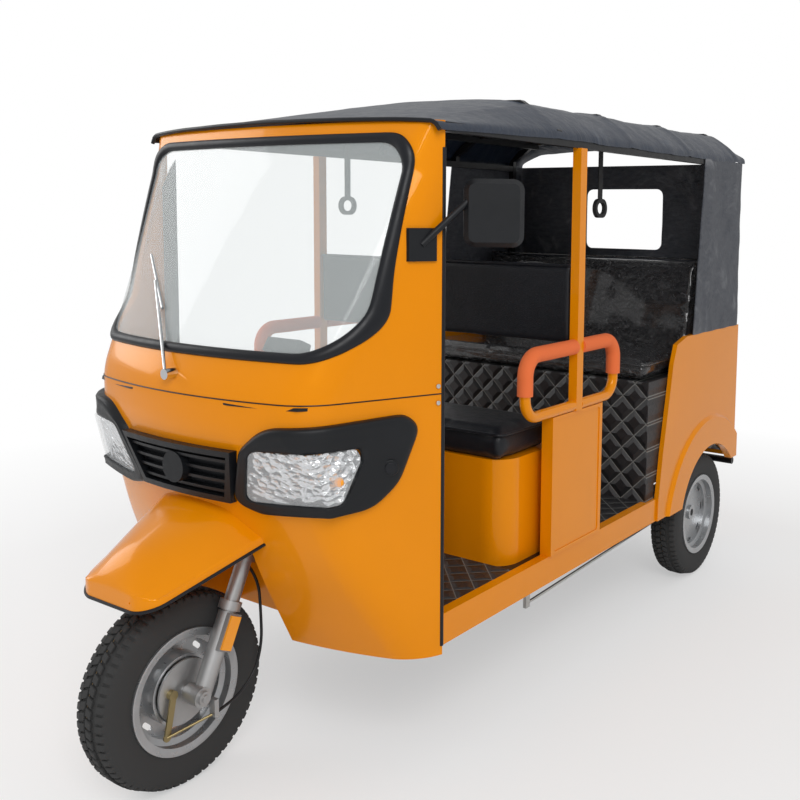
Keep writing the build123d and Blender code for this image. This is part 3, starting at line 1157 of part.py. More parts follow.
with BuildPart() as instrument_pod:
    with BuildSketch(steer_head.offset(CLAMP_S[1])):
        with Locations((0, (POD_Y[0] + POD_Y[1]) / 2)):
            RectangleRounded(2 * POD_HALF_W, POD_Y[1] - POD_Y[0], 14)
    extrude(amount=POD_H, taper=6)
finish(instrument_pod.part, "instrument_pod")

# Side reflectors on the fork, in their housings
with BuildPart() as reflector_housings:
    with BuildSketch(steer_head.offset(REFLECTOR_S[0])):
        with Locations((FORK_HALF + SLIDER_R + 1, 0)):
            Rectangle(12, 2 * REFLECTOR_HALF_W)
    extrude(amount=REFLECTOR_S[1] - REFLECTOR_S[0])
    mirror(about=Plane.YZ)
    add(fork_legs.part, mode=Mode.SUBTRACT)
finish(reflector_housings.part, "reflector_housings")

with BuildPart() as fork_reflectors:
    with BuildSketch(steer_head.offset(REFLECTOR_S[0] + 5)):
        with Locations((FORK_HALF + SLIDER_R + 10, 0)):
            Rectangle(6, 2 * REFLECTOR_HALF_W - 8)
    extrude(amount=REFLECTOR_S[1] - REFLECTOR_S[0] - 10)
    mirror(about=Plane.YZ)
finish(fork_reflectors.part, "fork_reflectors")

# Door mirrors: bracket on the corner pillar, arm, and a shell turned towards the driver
mirror_turn = radians(MIRROR_SWING)
mirror_mid = Vector(MIRROR_INNER[0] + MIRROR_W / 2 * cos(mirror_turn),
                    FRONT_AXLE_Y + MIRROR_INNER[1] + MIRROR_W / 2 * sin(mirror_turn),
                    (MIRROR_Z[0] + MIRROR_Z[1]) / 2)
mirror_plane = Plane(origin=mirror_mid, x_dir=(cos(mirror_turn), sin(mirror_turn), 0),
                     z_dir=(-sin(mirror_turn), cos(mirror_turn), 0))
MIRROR_H = MIRROR_Z[1] - MIRROR_Z[0]
with BuildPart() as mirrors:
    add(cowl_band(0, 8))
    span_box((300, 700), (FRONT_AXLE_Y + MIRROR_BRACKET_Y[0], FRONT_AXLE_Y + MIRROR_BRACKET_Y[1]),
             MIRROR_BRACKET_Z, mode=Mode.INTERSECT)
    bracket_mid = mirrors.part.center()
    with BuildSketch(mirror_plane):
        RectangleRounded(MIRROR_W, MIRROR_H, MIRROR_CORNER_R)
    extrude(amount=MIRROR_T / 2)
    with BuildSketch(mirror_plane):
        RectangleRounded(MIRROR_W, MIRROR_H, MIRROR_CORNER_R)
    extrude(amount=-MIRROR_T / 2, taper=35)
    arm_end = mirror_plane.from_local_coords((-MIRROR_W / 2 + 30, -MIRROR_H / 2 + 40, 0))
    rod(tuple(bracket_mid), tuple(arm_end), MIRROR_ARM_R)
    with BuildSketch(mirror_plane.offset(MIRROR_T / 2 - MIRROR_GLASS_T)):
        RectangleRounded(MIRROR_W - 2 * MIRROR_RIM, MIRROR_H - 2 * MIRROR_RIM, MIRROR_CORNER_R - MIRROR_RIM)
    extrude(amount=MIRROR_GLASS_T, mode=Mode.SUBTRACT)
    add(cowl_block(0), mode=Mode.SUBTRACT)
    mirror(about=Plane.YZ)
finish(mirrors.part, "mirrors")

with BuildPart() as mirror_glasses:
    with BuildSketch(mirror_plane.offset(MIRROR_T / 2 - MIRROR_GLASS_T)):
        RectangleRounded(MIRROR_W - 2 * MIRROR_RIM - 2 * FIT_GAP, MIRROR_H - 2 * MIRROR_RIM - 2 * FIT_GAP,
                         MIRROR_CORNER_R - MIRROR_RIM)
    extrude(amount=MIRROR_GLASS_T)
    mirror(about=Plane.YZ)
finish(mirror_glasses.part, "mirror_glasses")

# Hand straps under the roof's longerons, each with an oval ring
with BuildPart() as hand_straps:
    for strap_x, station in STRAP_STATIONS:
        strap_y = FRONT_AXLE_Y + station
        span_box((strap_x - STRAP_T / 2, strap_x + STRAP_T / 2),
                 (strap_y - STRAP_W / 2, strap_y + STRAP_W / 2),
                 (STRAP_RING_Z[1] - STRAP_RING_R, LONGERON_TOP_Z - ROOF_TUBE))
        with BuildSketch(Plane.YZ.offset(strap_x - STRAP_RING_R)):
            with Locations((strap_y, (STRAP_RING_Z[0] + STRAP_RING_Z[1]) / 2)):
                SlotOverall(2 * STRAP_RING_HALF, STRAP_RING_Z[1] - STRAP_RING_Z[0])
                SlotOverall(2 * (STRAP_RING_HALF - 2 * STRAP_RING_R),
                            STRAP_RING_Z[1] - STRAP_RING_Z[0] - 4 * STRAP_RING_R, mode=Mode.SUBTRACT)
        extrude(amount=2 * STRAP_RING_R)
finish(hand_straps.part, "hand_straps")


# Wiper: boss below the screen, arm, and a blade that lies along the glass
def screen_point(x, z, proud):
    """Point over the windscreen's face, at one side position and height."""
    station, height, lean = COWL_LEANS[0]
    turn = radians(lean)
    back = COWL_BOW_R - sqrt(COWL_BOW_R**2 - x**2) - proud
    rise = (z - height + back * sin(turn)) / cos(turn)
    return (x, FRONT_AXLE_Y + station + back * cos(turn) + rise * sin(turn), z)


blade_low, blade_high = WIPER_BLADE
blade_mid = ((blade_low[0] + blade_high[0]) / 2, (blade_low[1] + blade_high[1]) / 2)
with BuildPart() as wiper:
    rod(screen_point(*WIPER_PIVOT, 0), screen_point(*WIPER_PIVOT, 30), 14)
    add(cowl_upper.part, mode=Mode.SUBTRACT)
    rod(screen_point(*WIPER_PIVOT, 26), screen_point(*blade_mid, 9), 4.5)
    rod(screen_point(*blade_low, WIPER_PROUD), screen_point(*blade_high, WIPER_PROUD), 4)
finish(wiper.part, "wiper")
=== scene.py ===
"""Looks of an electric passenger tricycle: finishes, soft goods and fine detail on its fixed frame."""

from __future__ import annotations

import bisect
import functools
import logging
import math
from dataclasses import dataclass, field
from enum import Enum
from typing import Callable, Sequence

import bpy
from mathutils import Matrix, Vector, noise

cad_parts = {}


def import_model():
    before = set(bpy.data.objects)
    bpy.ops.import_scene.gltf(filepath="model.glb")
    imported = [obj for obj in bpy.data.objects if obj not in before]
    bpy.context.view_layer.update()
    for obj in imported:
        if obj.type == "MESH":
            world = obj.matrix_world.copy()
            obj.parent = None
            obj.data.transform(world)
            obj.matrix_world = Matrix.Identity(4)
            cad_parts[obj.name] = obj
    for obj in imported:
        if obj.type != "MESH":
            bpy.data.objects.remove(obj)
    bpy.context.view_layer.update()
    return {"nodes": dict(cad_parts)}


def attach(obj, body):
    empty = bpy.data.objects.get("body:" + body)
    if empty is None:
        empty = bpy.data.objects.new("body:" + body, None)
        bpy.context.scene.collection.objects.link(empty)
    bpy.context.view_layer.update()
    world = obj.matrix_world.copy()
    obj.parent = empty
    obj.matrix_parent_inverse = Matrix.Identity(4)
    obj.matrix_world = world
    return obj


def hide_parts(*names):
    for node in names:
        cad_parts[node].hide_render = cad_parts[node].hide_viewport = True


LOG = logging.getLogger("tricycle")
Point = tuple[float, float, float]

# Where the measured stations start: every station in this file is metres behind the front axle
FRONT_AXLE_Y = -1.154
WHEELBASE = 2.250
REAR_AXLE_Y = FRONT_AXLE_Y + WHEELBASE
AXLE_Z = 0.260


class Body(Enum):
    """Rigid bodies of the vehicle."""

    CHASSIS = "chassis"
    STEERING = "steering"
    FRONT_WHEEL = "front_wheel"
    REAR_LEFT = "rear_wheel_left"
    REAR_RIGHT = "rear_wheel_right"


class NodeTree:
    """A material's node tree, with short ways to add and join its nodes."""

    def __init__(self, name: str) -> None:
        """Start an empty surface material.

        Args:
            name: The material's name.
        """
        self.material = bpy.data.materials.new(name)
        self.material.use_nodes = True
        self.tree = self.material.node_tree
        self.tree.nodes.clear()
        self.output = self.tree.nodes.new("ShaderNodeOutputMaterial")
        self.shader = self.tree.nodes.new("ShaderNodeBsdfPrincipled")
        self.join(self.shader.outputs[0], self.output.inputs[0])

    def join(self, source: bpy.types.NodeSocket, target: bpy.types.NodeSocket) -> None:
        """Link two sockets."""
        self.tree.links.new(source, target)

    def set(self, **values: float | Sequence[float]) -> None:
        """Set the shader's own sockets; underscores stand for spaces in their names."""
        for key, value in values.items():
            socket = self.shader.inputs[key.replace("_", " ")]
            if socket.type == "RGBA" and len(value) == 3:
                value = (*value, 1.0)
            socket.default_value = value

    def place(self, scale: Point = (1, 1, 1), turn: Point = (0, 0, 0)) -> bpy.types.NodeSocket:
        """Give coordinates on the piece, scaled and turned.

        Args:
            scale: Scale along each axis, in repeats per metre where a pattern has a unit size.
            turn: Turn about each axis, in degrees.

        Returns:
            The vector socket.
        """
        coord = self.tree.nodes.new("ShaderNodeTexCoord")
        mapping = self.tree.nodes.new("ShaderNodeMapping")
        mapping.inputs["Scale"].default_value = scale
        mapping.inputs["Rotation"].default_value = [math.radians(a) for a in turn]
        self.join(coord.outputs["Object"], mapping.inputs["Vector"])
        return mapping.outputs["Vector"]

    def noise(self, where: bpy.types.NodeSocket, scale: float, detail: float = 3.0,
              rough: float = 0.5, twist: float = 0.0) -> bpy.types.NodeSocket:
        """Add a noise texture and give its value."""
        node = self.tree.nodes.new("ShaderNodeTexNoise")
        node.inputs["Scale"].default_value = scale
        node.inputs["Detail"].default_value = detail
        node.inputs["Roughness"].default_value = rough
        node.inputs["Distortion"].default_value = twist
        self.join(where, node.inputs["Vector"])
        return node.outputs["Fac"]

    def cells(self, where: bpy.types.NodeSocket, scale: float, feature: str = "F1") -> bpy.types.NodeSocket:
        """Add a cell texture and give its distance."""
        node = self.tree.nodes.new("ShaderNodeTexVoronoi")
        node.feature = feature
        node.inputs["Scale"].default_value = scale
        self.join(where, node.inputs["Vector"])
        return node.outputs["Distance"]

    def wave(self, where: bpy.types.NodeSocket, scale: float, twist: float = 0.0) -> bpy.types.NodeSocket:
        """Add bands along X and give their value."""
        node = self.tree.nodes.new("ShaderNodeTexWave")
        node.inputs["Scale"].default_value = scale
        node.inputs["Distortion"].default_value = twist
        self.join(where, node.inputs["Vector"])
        return node.outputs["Fac"]

    def math(self, kind: str, a: bpy.types.NodeSocket | float, b: bpy.types.NodeSocket | float = 0.0,
             clamp: bool = False) -> bpy.types.NodeSocket:
        """Add a math node on two values or sockets."""
        node = self.tree.nodes.new("ShaderNodeMath")
        node.operation = kind
        node.use_clamp = clamp
        for socket, value in zip(node.inputs, (a, b)):
            if isinstance(value, (int, float)):
                socket.default_value = value
            else:
                self.join(value, socket)
        return node.outputs[0]

    def ramp(self, value: bpy.types.NodeSocket, low: float, high: float,
             start: float = 0.0, end: float = 1.0) -> bpy.types.NodeSocket:
        """Map a value from one range to another, clamped."""
        node = self.tree.nodes.new("ShaderNodeMapRange")
        for key, number in (("From Min", low), ("From Max", high), ("To Min", start), ("To Max", end)):
            node.inputs[key].default_value = number
        self.join(value, node.inputs["Value"])
        return node.outputs["Result"]

    def mix(self, share: bpy.types.NodeSocket, a: Sequence[float] | bpy.types.NodeSocket,
            b: Sequence[float] | bpy.types.NodeSocket) -> bpy.types.NodeSocket:
        """Mix two colours by a share."""
        node = self.tree.nodes.new("ShaderNodeMix")
        node.data_type = "RGBA"
        self.join(share, node.inputs["Factor"])
        for socket, value in ((node.inputs[6], a), (node.inputs[7], b)):
            if isinstance(value, bpy.types.NodeSocket):
                self.join(value, socket)
            else:
                socket.default_value = (*value[:3], 1.0)
        return node.outputs[2]

    def axes(self, where: bpy.types.NodeSocket) -> list[bpy.types.NodeSocket]:
        """Split a vector into its X, Y and Z."""
        node = self.tree.nodes.new("ShaderNodeSeparateXYZ")
        self.join(where, node.inputs[0])
        return list(node.outputs)

    def bump(self, height: bpy.types.NodeSocket, depth: float, strength: float = 1.0) -> None:
        """Raise the surface by a height; a second call adds its bump to the first."""
        node = self.tree.nodes.new("ShaderNodeBump")
        node.inputs["Strength"].default_value = strength
        node.inputs["Distance"].default_value = depth
        self.join(height, node.inputs["Height"])
        normal = self.shader.inputs["Normal"]
        if normal.is_linked:
            self.join(normal.links[0].from_socket, node.inputs["Normal"])
        self.join(node.outputs[0], normal)


@dataclass(frozen=True)
class Finish:
    """A plain finish: colour, gloss and a fine grain."""

    name: str
    colour: Point
    roughness: float = 0.5
    metallic: float = 0.0
    coat: float = 0.0
    grain: float = 0.0
    grain_scale: float = 600.0
    shade: float = 0.12
    specular: float = 0.5

    def dress(self, nodes: NodeTree) -> None:
        """Add the finish's nodes: slow colour change, worn gloss and grain."""
        where = nodes.place()
        slow = nodes.noise(where, 5.0, 4.0)
        dark = tuple(c * (1 - self.shade) for c in self.colour)
        light = tuple(min(1.0, c * (1 + self.shade)) for c in self.colour)
        nodes.join(nodes.mix(nodes.ramp(slow, 0.35, 0.65), dark, light), nodes.shader.inputs["Base Color"])
        fine = nodes.noise(where, 45.0, 5.0)
        nodes.join(nodes.ramp(fine, 0.3, 0.7, self.roughness * 0.86, min(1.0, self.roughness * 1.14)),
                   nodes.shader.inputs["Roughness"])
        nodes.set(Metallic=self.metallic, Coat_Weight=self.coat, Coat_Roughness=0.04,
                  Specular_IOR_Level=self.specular)
        if self.grain:
            nodes.bump(nodes.noise(where, self.grain_scale, 2.0), self.grain)

    def build(self) -> bpy.types.Material:
        """Make the material, once for the whole scene."""
        found = bpy.data.materials.get(self.name)
        if found:
            return found
        nodes = NodeTree(self.name)
        self.dress(nodes)
        return nodes.material


@dataclass(frozen=True)
class GlassFinish(Finish):
    """Clear sheet that lets light straight through, with a soft sheen."""

    clear: float = 0.9

    def dress(self, nodes: NodeTree) -> None:
        """Add a mostly open surface with reflections."""
        where = nodes.place()
        smear = nodes.noise(where, 3.0, 2.0)
        nodes.join(nodes.ramp(smear, 0.3, 0.7, self.roughness * 0.6, self.roughness * 1.4),
                   nodes.shader.inputs["Roughness"])
        nodes.set(Base_Color=self.colour, Alpha=1 - self.clear, Specular_IOR_Level=0.6, IOR=1.45)


@dataclass(frozen=True)
class PaintFinish(Finish):
    """Deep glossy paint whose under-layer keeps its own hue in the shine."""

    def dress(self, nodes: NodeTree) -> None:
        """Tint the under-layer's reflections."""
        super().dress(nodes)
        nodes.set(Specular_Tint=(1.0, 0.50, 0.03))


@dataclass(frozen=True)
class LeatherFinish(Finish):
    """Grained leatherette with a soft sheen."""

    pore_scale: float = 420.0

    def dress(self, nodes: NodeTree) -> None:
        """Add pores, creases and the sheen."""
        super().dress(nodes)
        where = nodes.place()
        pores = nodes.cells(where, self.pore_scale, "SMOOTH_F1")
        nodes.bump(pores, 0.0006)
        nodes.bump(nodes.noise(where, 16.0, 5.0, 0.6, 0.8), 0.003, 0.5)
        nodes.set(Sheen_Weight=0.05, Sheen_Roughness=0.4)


@dataclass(frozen=True)
class VinylFinish(Finish):
    """Coated canvas: a fine weave, folds whose ridges are coloured paler, and dust."""

    worn: Point = (0.10, 0.105, 0.12)
    weave: float = 900.0
    fold_scale: float = 4.5
    ridge_share: float = 0.35

    def dress(self, nodes: NodeTree) -> None:
        """Add weave, creases and paler ridges."""
        where = nodes.place()
        folds = nodes.noise(where, self.fold_scale, 6.0, 0.62, 1.1)
        # The high parts of the fold noise, which are also the bump's ridges, are coloured paler.
        ridge = nodes.ramp(folds, 0.62 - self.ridge_share * 0.2, 0.80)
        dust = nodes.noise(nodes.place(scale=(1, 1, 3)), 24.0, 6.0, 0.7)
        tone = nodes.mix(nodes.ramp(dust, 0.35, 0.75, 0.0, 0.35), self.colour, self.worn)
        nodes.join(nodes.mix(ridge, tone, self.worn), nodes.shader.inputs["Base Color"])
        nodes.join(nodes.ramp(dust, 0.3, 0.7, self.roughness * 0.8, self.roughness * 1.2),
                   nodes.shader.inputs["Roughness"])
        warp = nodes.wave(nodes.place(scale=(self.weave, 0, 0)), 0.16)
        weft = nodes.wave(nodes.place(turn=(0, 0, 90), scale=(self.weave, 0, 0)), 0.16)
        nodes.bump(nodes.math("MULTIPLY", warp, weft), 0.0002, 0.4)
        nodes.bump(folds, 0.012, 0.6)
        nodes.bump(nodes.noise(where, 30.0, 4.0, 0.6, 1.5), 0.002, 0.7)
        nodes.set(Specular_IOR_Level=self.specular)


@dataclass(frozen=True)
class QuiltFinish(Finish):
    """Leatherette stitched in diamonds."""

    pitch: float = 0.062
    upright: bool = False

    def dress(self, nodes: NodeTree) -> None:
        """Add the padded diamonds and their pale stitch line."""
        where = nodes.place()
        turned = [nodes.place(turn=(0, a, 0) if self.upright else (0, 0, a)) for a in (45, -45)]
        lines = []
        for vector in turned:
            along = nodes.axes(vector)[0]
            cell = nodes.math("FRACT", nodes.math("MULTIPLY", along, 1 / self.pitch))
            lines.append(nodes.math("ABSOLUTE", nodes.math("SUBTRACT", cell, 0.5)))
        edge = nodes.math("MAXIMUM", lines[0], lines[1])
        stitch = nodes.ramp(edge, 0.465, 0.485)
        grain = nodes.noise(where, 60.0, 5.0)
        dark = tuple(c * 0.7 for c in self.colour)
        base = nodes.mix(nodes.ramp(grain, 0.3, 0.7), dark, self.colour)
        nodes.join(nodes.mix(stitch, base, (0.16, 0.16, 0.15)), nodes.shader.inputs["Base Color"])
        nodes.join(nodes.ramp(grain, 0.3, 0.7, self.roughness * 0.8, self.roughness * 1.2),
                   nodes.shader.inputs["Roughness"])
        nodes.bump(nodes.ramp(edge, 0.5, 0.25), 0.010)
        nodes.bump(nodes.cells(where, 380.0, "SMOOTH_F1"), 0.0005)


@dataclass(frozen=True)
class WrapFinish(Finish):
    """Dark seat cover under crinkled clear plastic."""

    def dress(self, nodes: NodeTree) -> None:
        """Add sharp crinkles, with pale painted highlights streaked along them."""
        where = nodes.place(scale=(1, 1.6, 1.3))
        crinkle = nodes.cells(where, 16.0, "DISTANCE_TO_EDGE")
        finer = nodes.noise(where, 26.0, 5.0, 0.6, 2.6)
        # Pale streaks painted into the colour are painted highlights of the crinkled plastic, not a colour of the
        # cover.
        painted_highlight = nodes.ramp(finer, 0.62, 0.68)
        nodes.join(nodes.mix(painted_highlight, self.colour, (0.085, 0.085, 0.09)), nodes.shader.inputs["Base Color"])
        nodes.join(nodes.ramp(finer, 0.35, 0.65, 0.10, 0.30), nodes.shader.inputs["Roughness"])
        nodes.bump(nodes.ramp(crinkle, 0.0, 0.25), 0.010, 0.7)
        nodes.bump(finer, 0.022, 0.9)
        nodes.set(Coat_Weight=0.9, Coat_Roughness=0.06, Specular_IOR_Level=0.7)


@dataclass(frozen=True)
class FacetFinish(Finish):
    """Bright reflector pressed in small facets."""

    def dress(self, nodes: NodeTree) -> None:
        """Add facets that turn the reflection from cell to cell."""
        super().dress(nodes)
        where = nodes.place(scale=(1, 1, 1.5))
        nodes.bump(nodes.cells(where, 42.0), 0.016, 0.9)
        nodes.bump(nodes.noise(where, 28.0, 3.0, 0.5, 1.2), 0.010, 0.8)


@dataclass(frozen=True)
class TyreFinish(Finish):
    """Black rubber, dusty where it has rolled."""

    def dress(self, nodes: NodeTree) -> None:
        """Add dust and moulding grain."""
        where = nodes.place()
        dust = nodes.noise(where, 14.0, 6.0, 0.7)
        nodes.join(nodes.mix(nodes.ramp(dust, 0.45, 0.8, 0.0, 0.5), self.colour, (0.045, 0.042, 0.038)),
                   nodes.shader.inputs["Base Color"])
        nodes.join(nodes.ramp(dust, 0.3, 0.7, 0.5, 0.75), nodes.shader.inputs["Roughness"])
        nodes.bump(nodes.noise(where, 500.0, 2.0), 0.0003)


PAINT = PaintFinish("amber_yellow_paint", (0.80, 0.255, 0.001), 0.22, coat=0.30, grain=0.00004, grain_scale=200.0,
                    shade=0.015, specular=0.45)
SHELL_BLACK = Finish("matt_black_moulding", (0.008, 0.009, 0.011), 0.40, grain=0.00025, grain_scale=900.0,
                     specular=0.28)
FRAME_BLACK = Finish("frame_black_paint", (0.008, 0.008, 0.009), 0.40, coat=0.10, grain=0.0001, grain_scale=260.0,
                     specular=0.3)
GASKET = Finish("gasket_rubber", (0.007, 0.008, 0.011), 0.36, grain=0.0001, grain_scale=500.0, specular=0.3)
SCREEN = GlassFinish("screen_glass", (0.93, 0.97, 0.97), 0.02, clear=0.95)
LENS = GlassFinish("lamp_lens", (0.96, 0.97, 1.0), 0.03, clear=0.9)
FACETS = FacetFinish("faceted_chrome", (0.86, 0.87, 0.88), 0.1, metallic=1.0, shade=0.04)
CHROME = Finish("bright_chrome", (0.75, 0.76, 0.77), 0.10, metallic=1.0, shade=0.04)
STEEL = Finish("zinc_steel", (0.50, 0.50, 0.49), 0.35, metallic=0.9, shade=0.15, grain=0.0001)
GOLD_ZINC = Finish("yellow_zinc", (0.30, 0.24, 0.12), 0.35, metallic=0.9, shade=0.25)
IRON = Finish("axle_iron", (0.04, 0.04, 0.04), 0.55, metallic=0.5, shade=0.3, grain=0.0003, grain_scale=200.0)
CAST = Finish("cast_alloy", (0.42, 0.42, 0.42), 0.42, metallic=0.85, shade=0.12, grain=0.0003, grain_scale=350.0)
RIM = Finish("silver_rim_paint", (0.42, 0.43, 0.44), 0.30, metallic=0.8, coat=0.3, shade=0.10, grain=0.0001)
TYRE = TyreFinish("tyre_rubber", (0.014, 0.014, 0.014), 0.6)
FOAM = Finish("orange_foam", (0.86, 0.13, 0.035), 0.75, grain=0.0008, grain_scale=700.0, shade=0.08)
GRIP = Finish("grip_rubber", (0.014, 0.014, 0.015), 0.6, grain=0.001, grain_scale=420.0)
MAT = QuiltFinish("quilted_mat", (0.022, 0.022, 0.024), 0.5)
BENCH = QuiltFinish("quilted_bench", (0.020, 0.020, 0.022), 0.45, pitch=0.07, upright=True)
LEATHER = LeatherFinish("black_leatherette", (0.009, 0.010, 0.013), 0.36, shade=0.2, specular=0.3)
WRAPPED = WrapFinish("wrapped_seat", (0.014, 0.014, 0.016), 0.2)
CANOPY = VinylFinish("navy_canopy_vinyl", (0.010, 0.017, 0.034), 0.36, worn=(0.045, 0.065, 0.100), fold_scale=3.2,
                     ridge_share=0.1, specular=0.55)
CURTAIN = VinylFinish("grey_curtain_vinyl", (0.030, 0.035, 0.048), 0.5, worn=(0.22, 0.225, 0.24), fold_scale=5.0)
AMBER = Finish("amber_lens", (0.80, 0.16, 0.01), 0.2, coat=0.5, grain=0.0008, grain_scale=300.0)
RED = Finish("red_lens", (0.45, 0.008, 0.008), 0.15, coat=0.6, grain=0.0006, grain_scale=260.0)
GREY = Finish("grey_moulding", (0.22, 0.22, 0.22), 0.5, grain=0.0002)
CASE = Finish("battery_case", (0.05, 0.05, 0.055), 0.5, grain=0.0003)
STRAP = Finish("strap_webbing", (0.012, 0.012, 0.013), 0.7, grain=0.0006, grain_scale=800.0)
THREAD = Finish("tan_mould_line", (0.20, 0.13, 0.06), 0.7, shade=0.2)

NODE_FINISH: dict[str, Finish] = {
    **dict.fromkeys(("cowl_lower", "cowl_upper", "front_fender", "sills", "b_pillars", "grab_hoops", "rear_sides",
                     "rear_panel", "driver_seat_base", "wheel_well"), PAINT),
    **dict.fromkeys(("dashboard", "instrument_pod", "lamp_bezels", "grille", "mirrors"), SHELL_BLACK),
    **dict.fromkeys(("chassis_frame", "floor_pan", "roof_frame", "steering_stem", "handlebar", "rear_bumper",
                     "brake_cable"), FRAME_BLACK),
    **dict.fromkeys(("front_rim", "rear_left_rim", "rear_right_rim"), RIM),
    **dict.fromkeys(("fork_legs", "front_spindle"), CAST),
    **dict.fromkeys(("wiper", "mirror_glasses"), CHROME),
    **dict.fromkeys(("driver_cushion", "driver_backrest"), LEATHER),
    **dict.fromkeys(("passenger_cushion", "passenger_backrest"), WRAPPED),
    "windshield_glass": SCREEN, "windshield_gasket": GASKET, "headlamp_lenses": LENS,
    "headlamp_reflectors": FACETS, "handlebar_grips": GRIP, "hoop_grips": FOAM, "floor_mat": MAT,
    "passenger_seat_base": BENCH, "roof_canopy": CANOPY, "rear_curtain": CURTAIN, "tail_lamps": RED,
    "battery_pack": CASE, "rear_axle": IRON, "leaf_springs": IRON, "brake_rods": STEEL, "brake_arm": GOLD_ZINC,
    "fork_reflectors": AMBER, "reflector_housings": GREY, "hand_straps": STRAP,
    "front_tyre": TYRE, "rear_left_tyre": TYRE, "rear_right_tyre": TYRE,
}


@dataclass
class PhotoCamera:
    """Camera at the photograph's place, angle and framing."""

    place: Point = (2.097, FRONT_AXLE_Y - 1.578, 1.5105)
    yaw: float = 33.92
    pitch: float = 5.87
    roll: float = 0.70
    focal_px: float = 979.55
    centre_px: tuple[float, float] = (503.36, 315.58)
    frame_px: float = 800.0
    sensor: float = 36.0

    def build(self) -> None:
        """Make the camera and set it as the scene's own."""
        yaw, pitch, roll = (math.radians(a) for a in (self.yaw, self.pitch, self.roll))
        ahead = Vector((-math.sin(yaw) * math.cos(pitch), math.cos(yaw) * math.cos(pitch), -math.sin(pitch)))
        level = Vector((math.cos(yaw), math.sin(yaw), 0))
        over = level.cross(ahead)
        right = math.cos(roll) * level + math.sin(roll) * over
        up = -math.sin(roll) * level + math.cos(roll) * over
        data = bpy.data.cameras.new("photo_camera")
        data.sensor_width = self.sensor
        data.lens = self.focal_px * self.sensor / self.frame_px
        data.shift_x = (self.frame_px / 2 - self.centre_px[0]) / self.frame_px
        data.shift_y = (self.centre_px[1] - self.frame_px / 2) / self.frame_px
        camera = bpy.data.objects.new("photo_camera", data)
        turn = Matrix((right, up, -ahead)).transposed().to_4x4()
        camera.matrix_world = Matrix.Translation(self.place) @ turn
        bpy.context.scene.collection.objects.link(camera)
        bpy.context.scene.camera = camera


@dataclass
class Studio:
    """Pale floor, soft lamps and a white surround."""

    floor_half: float = 30.0
    world_strength: float = 0.62

    def build(self) -> None:
        """Make the floor, the lamps and the world, and set plain colours."""
        view = bpy.context.scene.view_settings
        view.view_transform = "Standard"
        bpy.ops.object.select_all(action="DESELECT")
        bpy.ops.mesh.primitive_plane_add(size=2 * self.floor_half, location=(0, 0, 0))
        floor = bpy.context.object
        floor.name = "studio_floor"
        nodes = NodeTree("studio_floor")
        nodes.set(Base_Color=(0.9, 0.9, 0.9), Roughness=0.9, Specular_IOR_Level=0.1)
        far = nodes.tree.nodes.new("ShaderNodeVectorMath")
        far.operation = "LENGTH"
        nodes.join(nodes.place(), far.inputs[0])
        glow = nodes.tree.nodes.new("ShaderNodeEmission")
        blend_node = nodes.tree.nodes.new("ShaderNodeMixShader")
        path = nodes.tree.nodes.new("ShaderNodeLightPath")
        share = nodes.ramp(far.outputs["Value"], 2.0, 4.0, 0.45, 1.0)
        nodes.join(nodes.math("MULTIPLY", share, path.outputs["Is Camera Ray"]), blend_node.inputs[0])
        nodes.join(nodes.shader.outputs[0], blend_node.inputs[1])
        nodes.join(glow.outputs[0], blend_node.inputs[2])
        nodes.join(blend_node.outputs[0], nodes.output.inputs[0])
        floor.data.materials.append(nodes.material)
        world = bpy.data.worlds.new("studio")
        world.use_nodes = True
        tree = world.node_tree
        back = tree.nodes["Background"]
        back.inputs[0].default_value = (1, 1, 1, 1)
        back.inputs[1].default_value = self.world_strength
        seen = tree.nodes.new("ShaderNodeBackground")
        seen.inputs[0].default_value = (1, 1, 1, 1)
        mix = tree.nodes.new("ShaderNodeMixShader")
        path = tree.nodes.new("ShaderNodeLightPath")
        tree.links.new(path.outputs["Is Camera Ray"], mix.inputs[0])
        tree.links.new(back.outputs[0], mix.inputs[1])
        tree.links.new(seen.outputs[0], mix.inputs[2])
        tree.links.new(mix.outputs[0], tree.nodes["World Output"].inputs[0])
        bpy.context.scene.world = world
        for name, place, size, power in (
            ("key_lamp", (4.5, -4.5, 5.0), 3.0, 190.0),
            ("side_lamp", (-5.0, -2.0, 3.5), 3.0, 70.0),
        ):
            data = bpy.data.lights.new(name, "AREA")
            data.size = size
            data.energy = power
            lamp = bpy.data.objects.new(name, data)
            lamp.location = place
            lamp.rotation_mode = "QUATERNION"
            lamp.rotation_quaternion = (Vector((0, 0, 0.8)) - Vector(place)).to_track_quat("-Z", "Y")
            bpy.context.scene.collection.objects.link(lamp)


def dress_nodes(nodes: dict[str, bpy.types.Object]) -> None:
    """Give every node of the frame its finish.

    Args:
        nodes: The frame's objects by node name.
    """
    for name, obj in nodes.items():
        finish = NODE_FINISH.get(name, FRAME_BLACK)
        obj.data.materials.clear()
        obj.data.materials.append(finish.build())


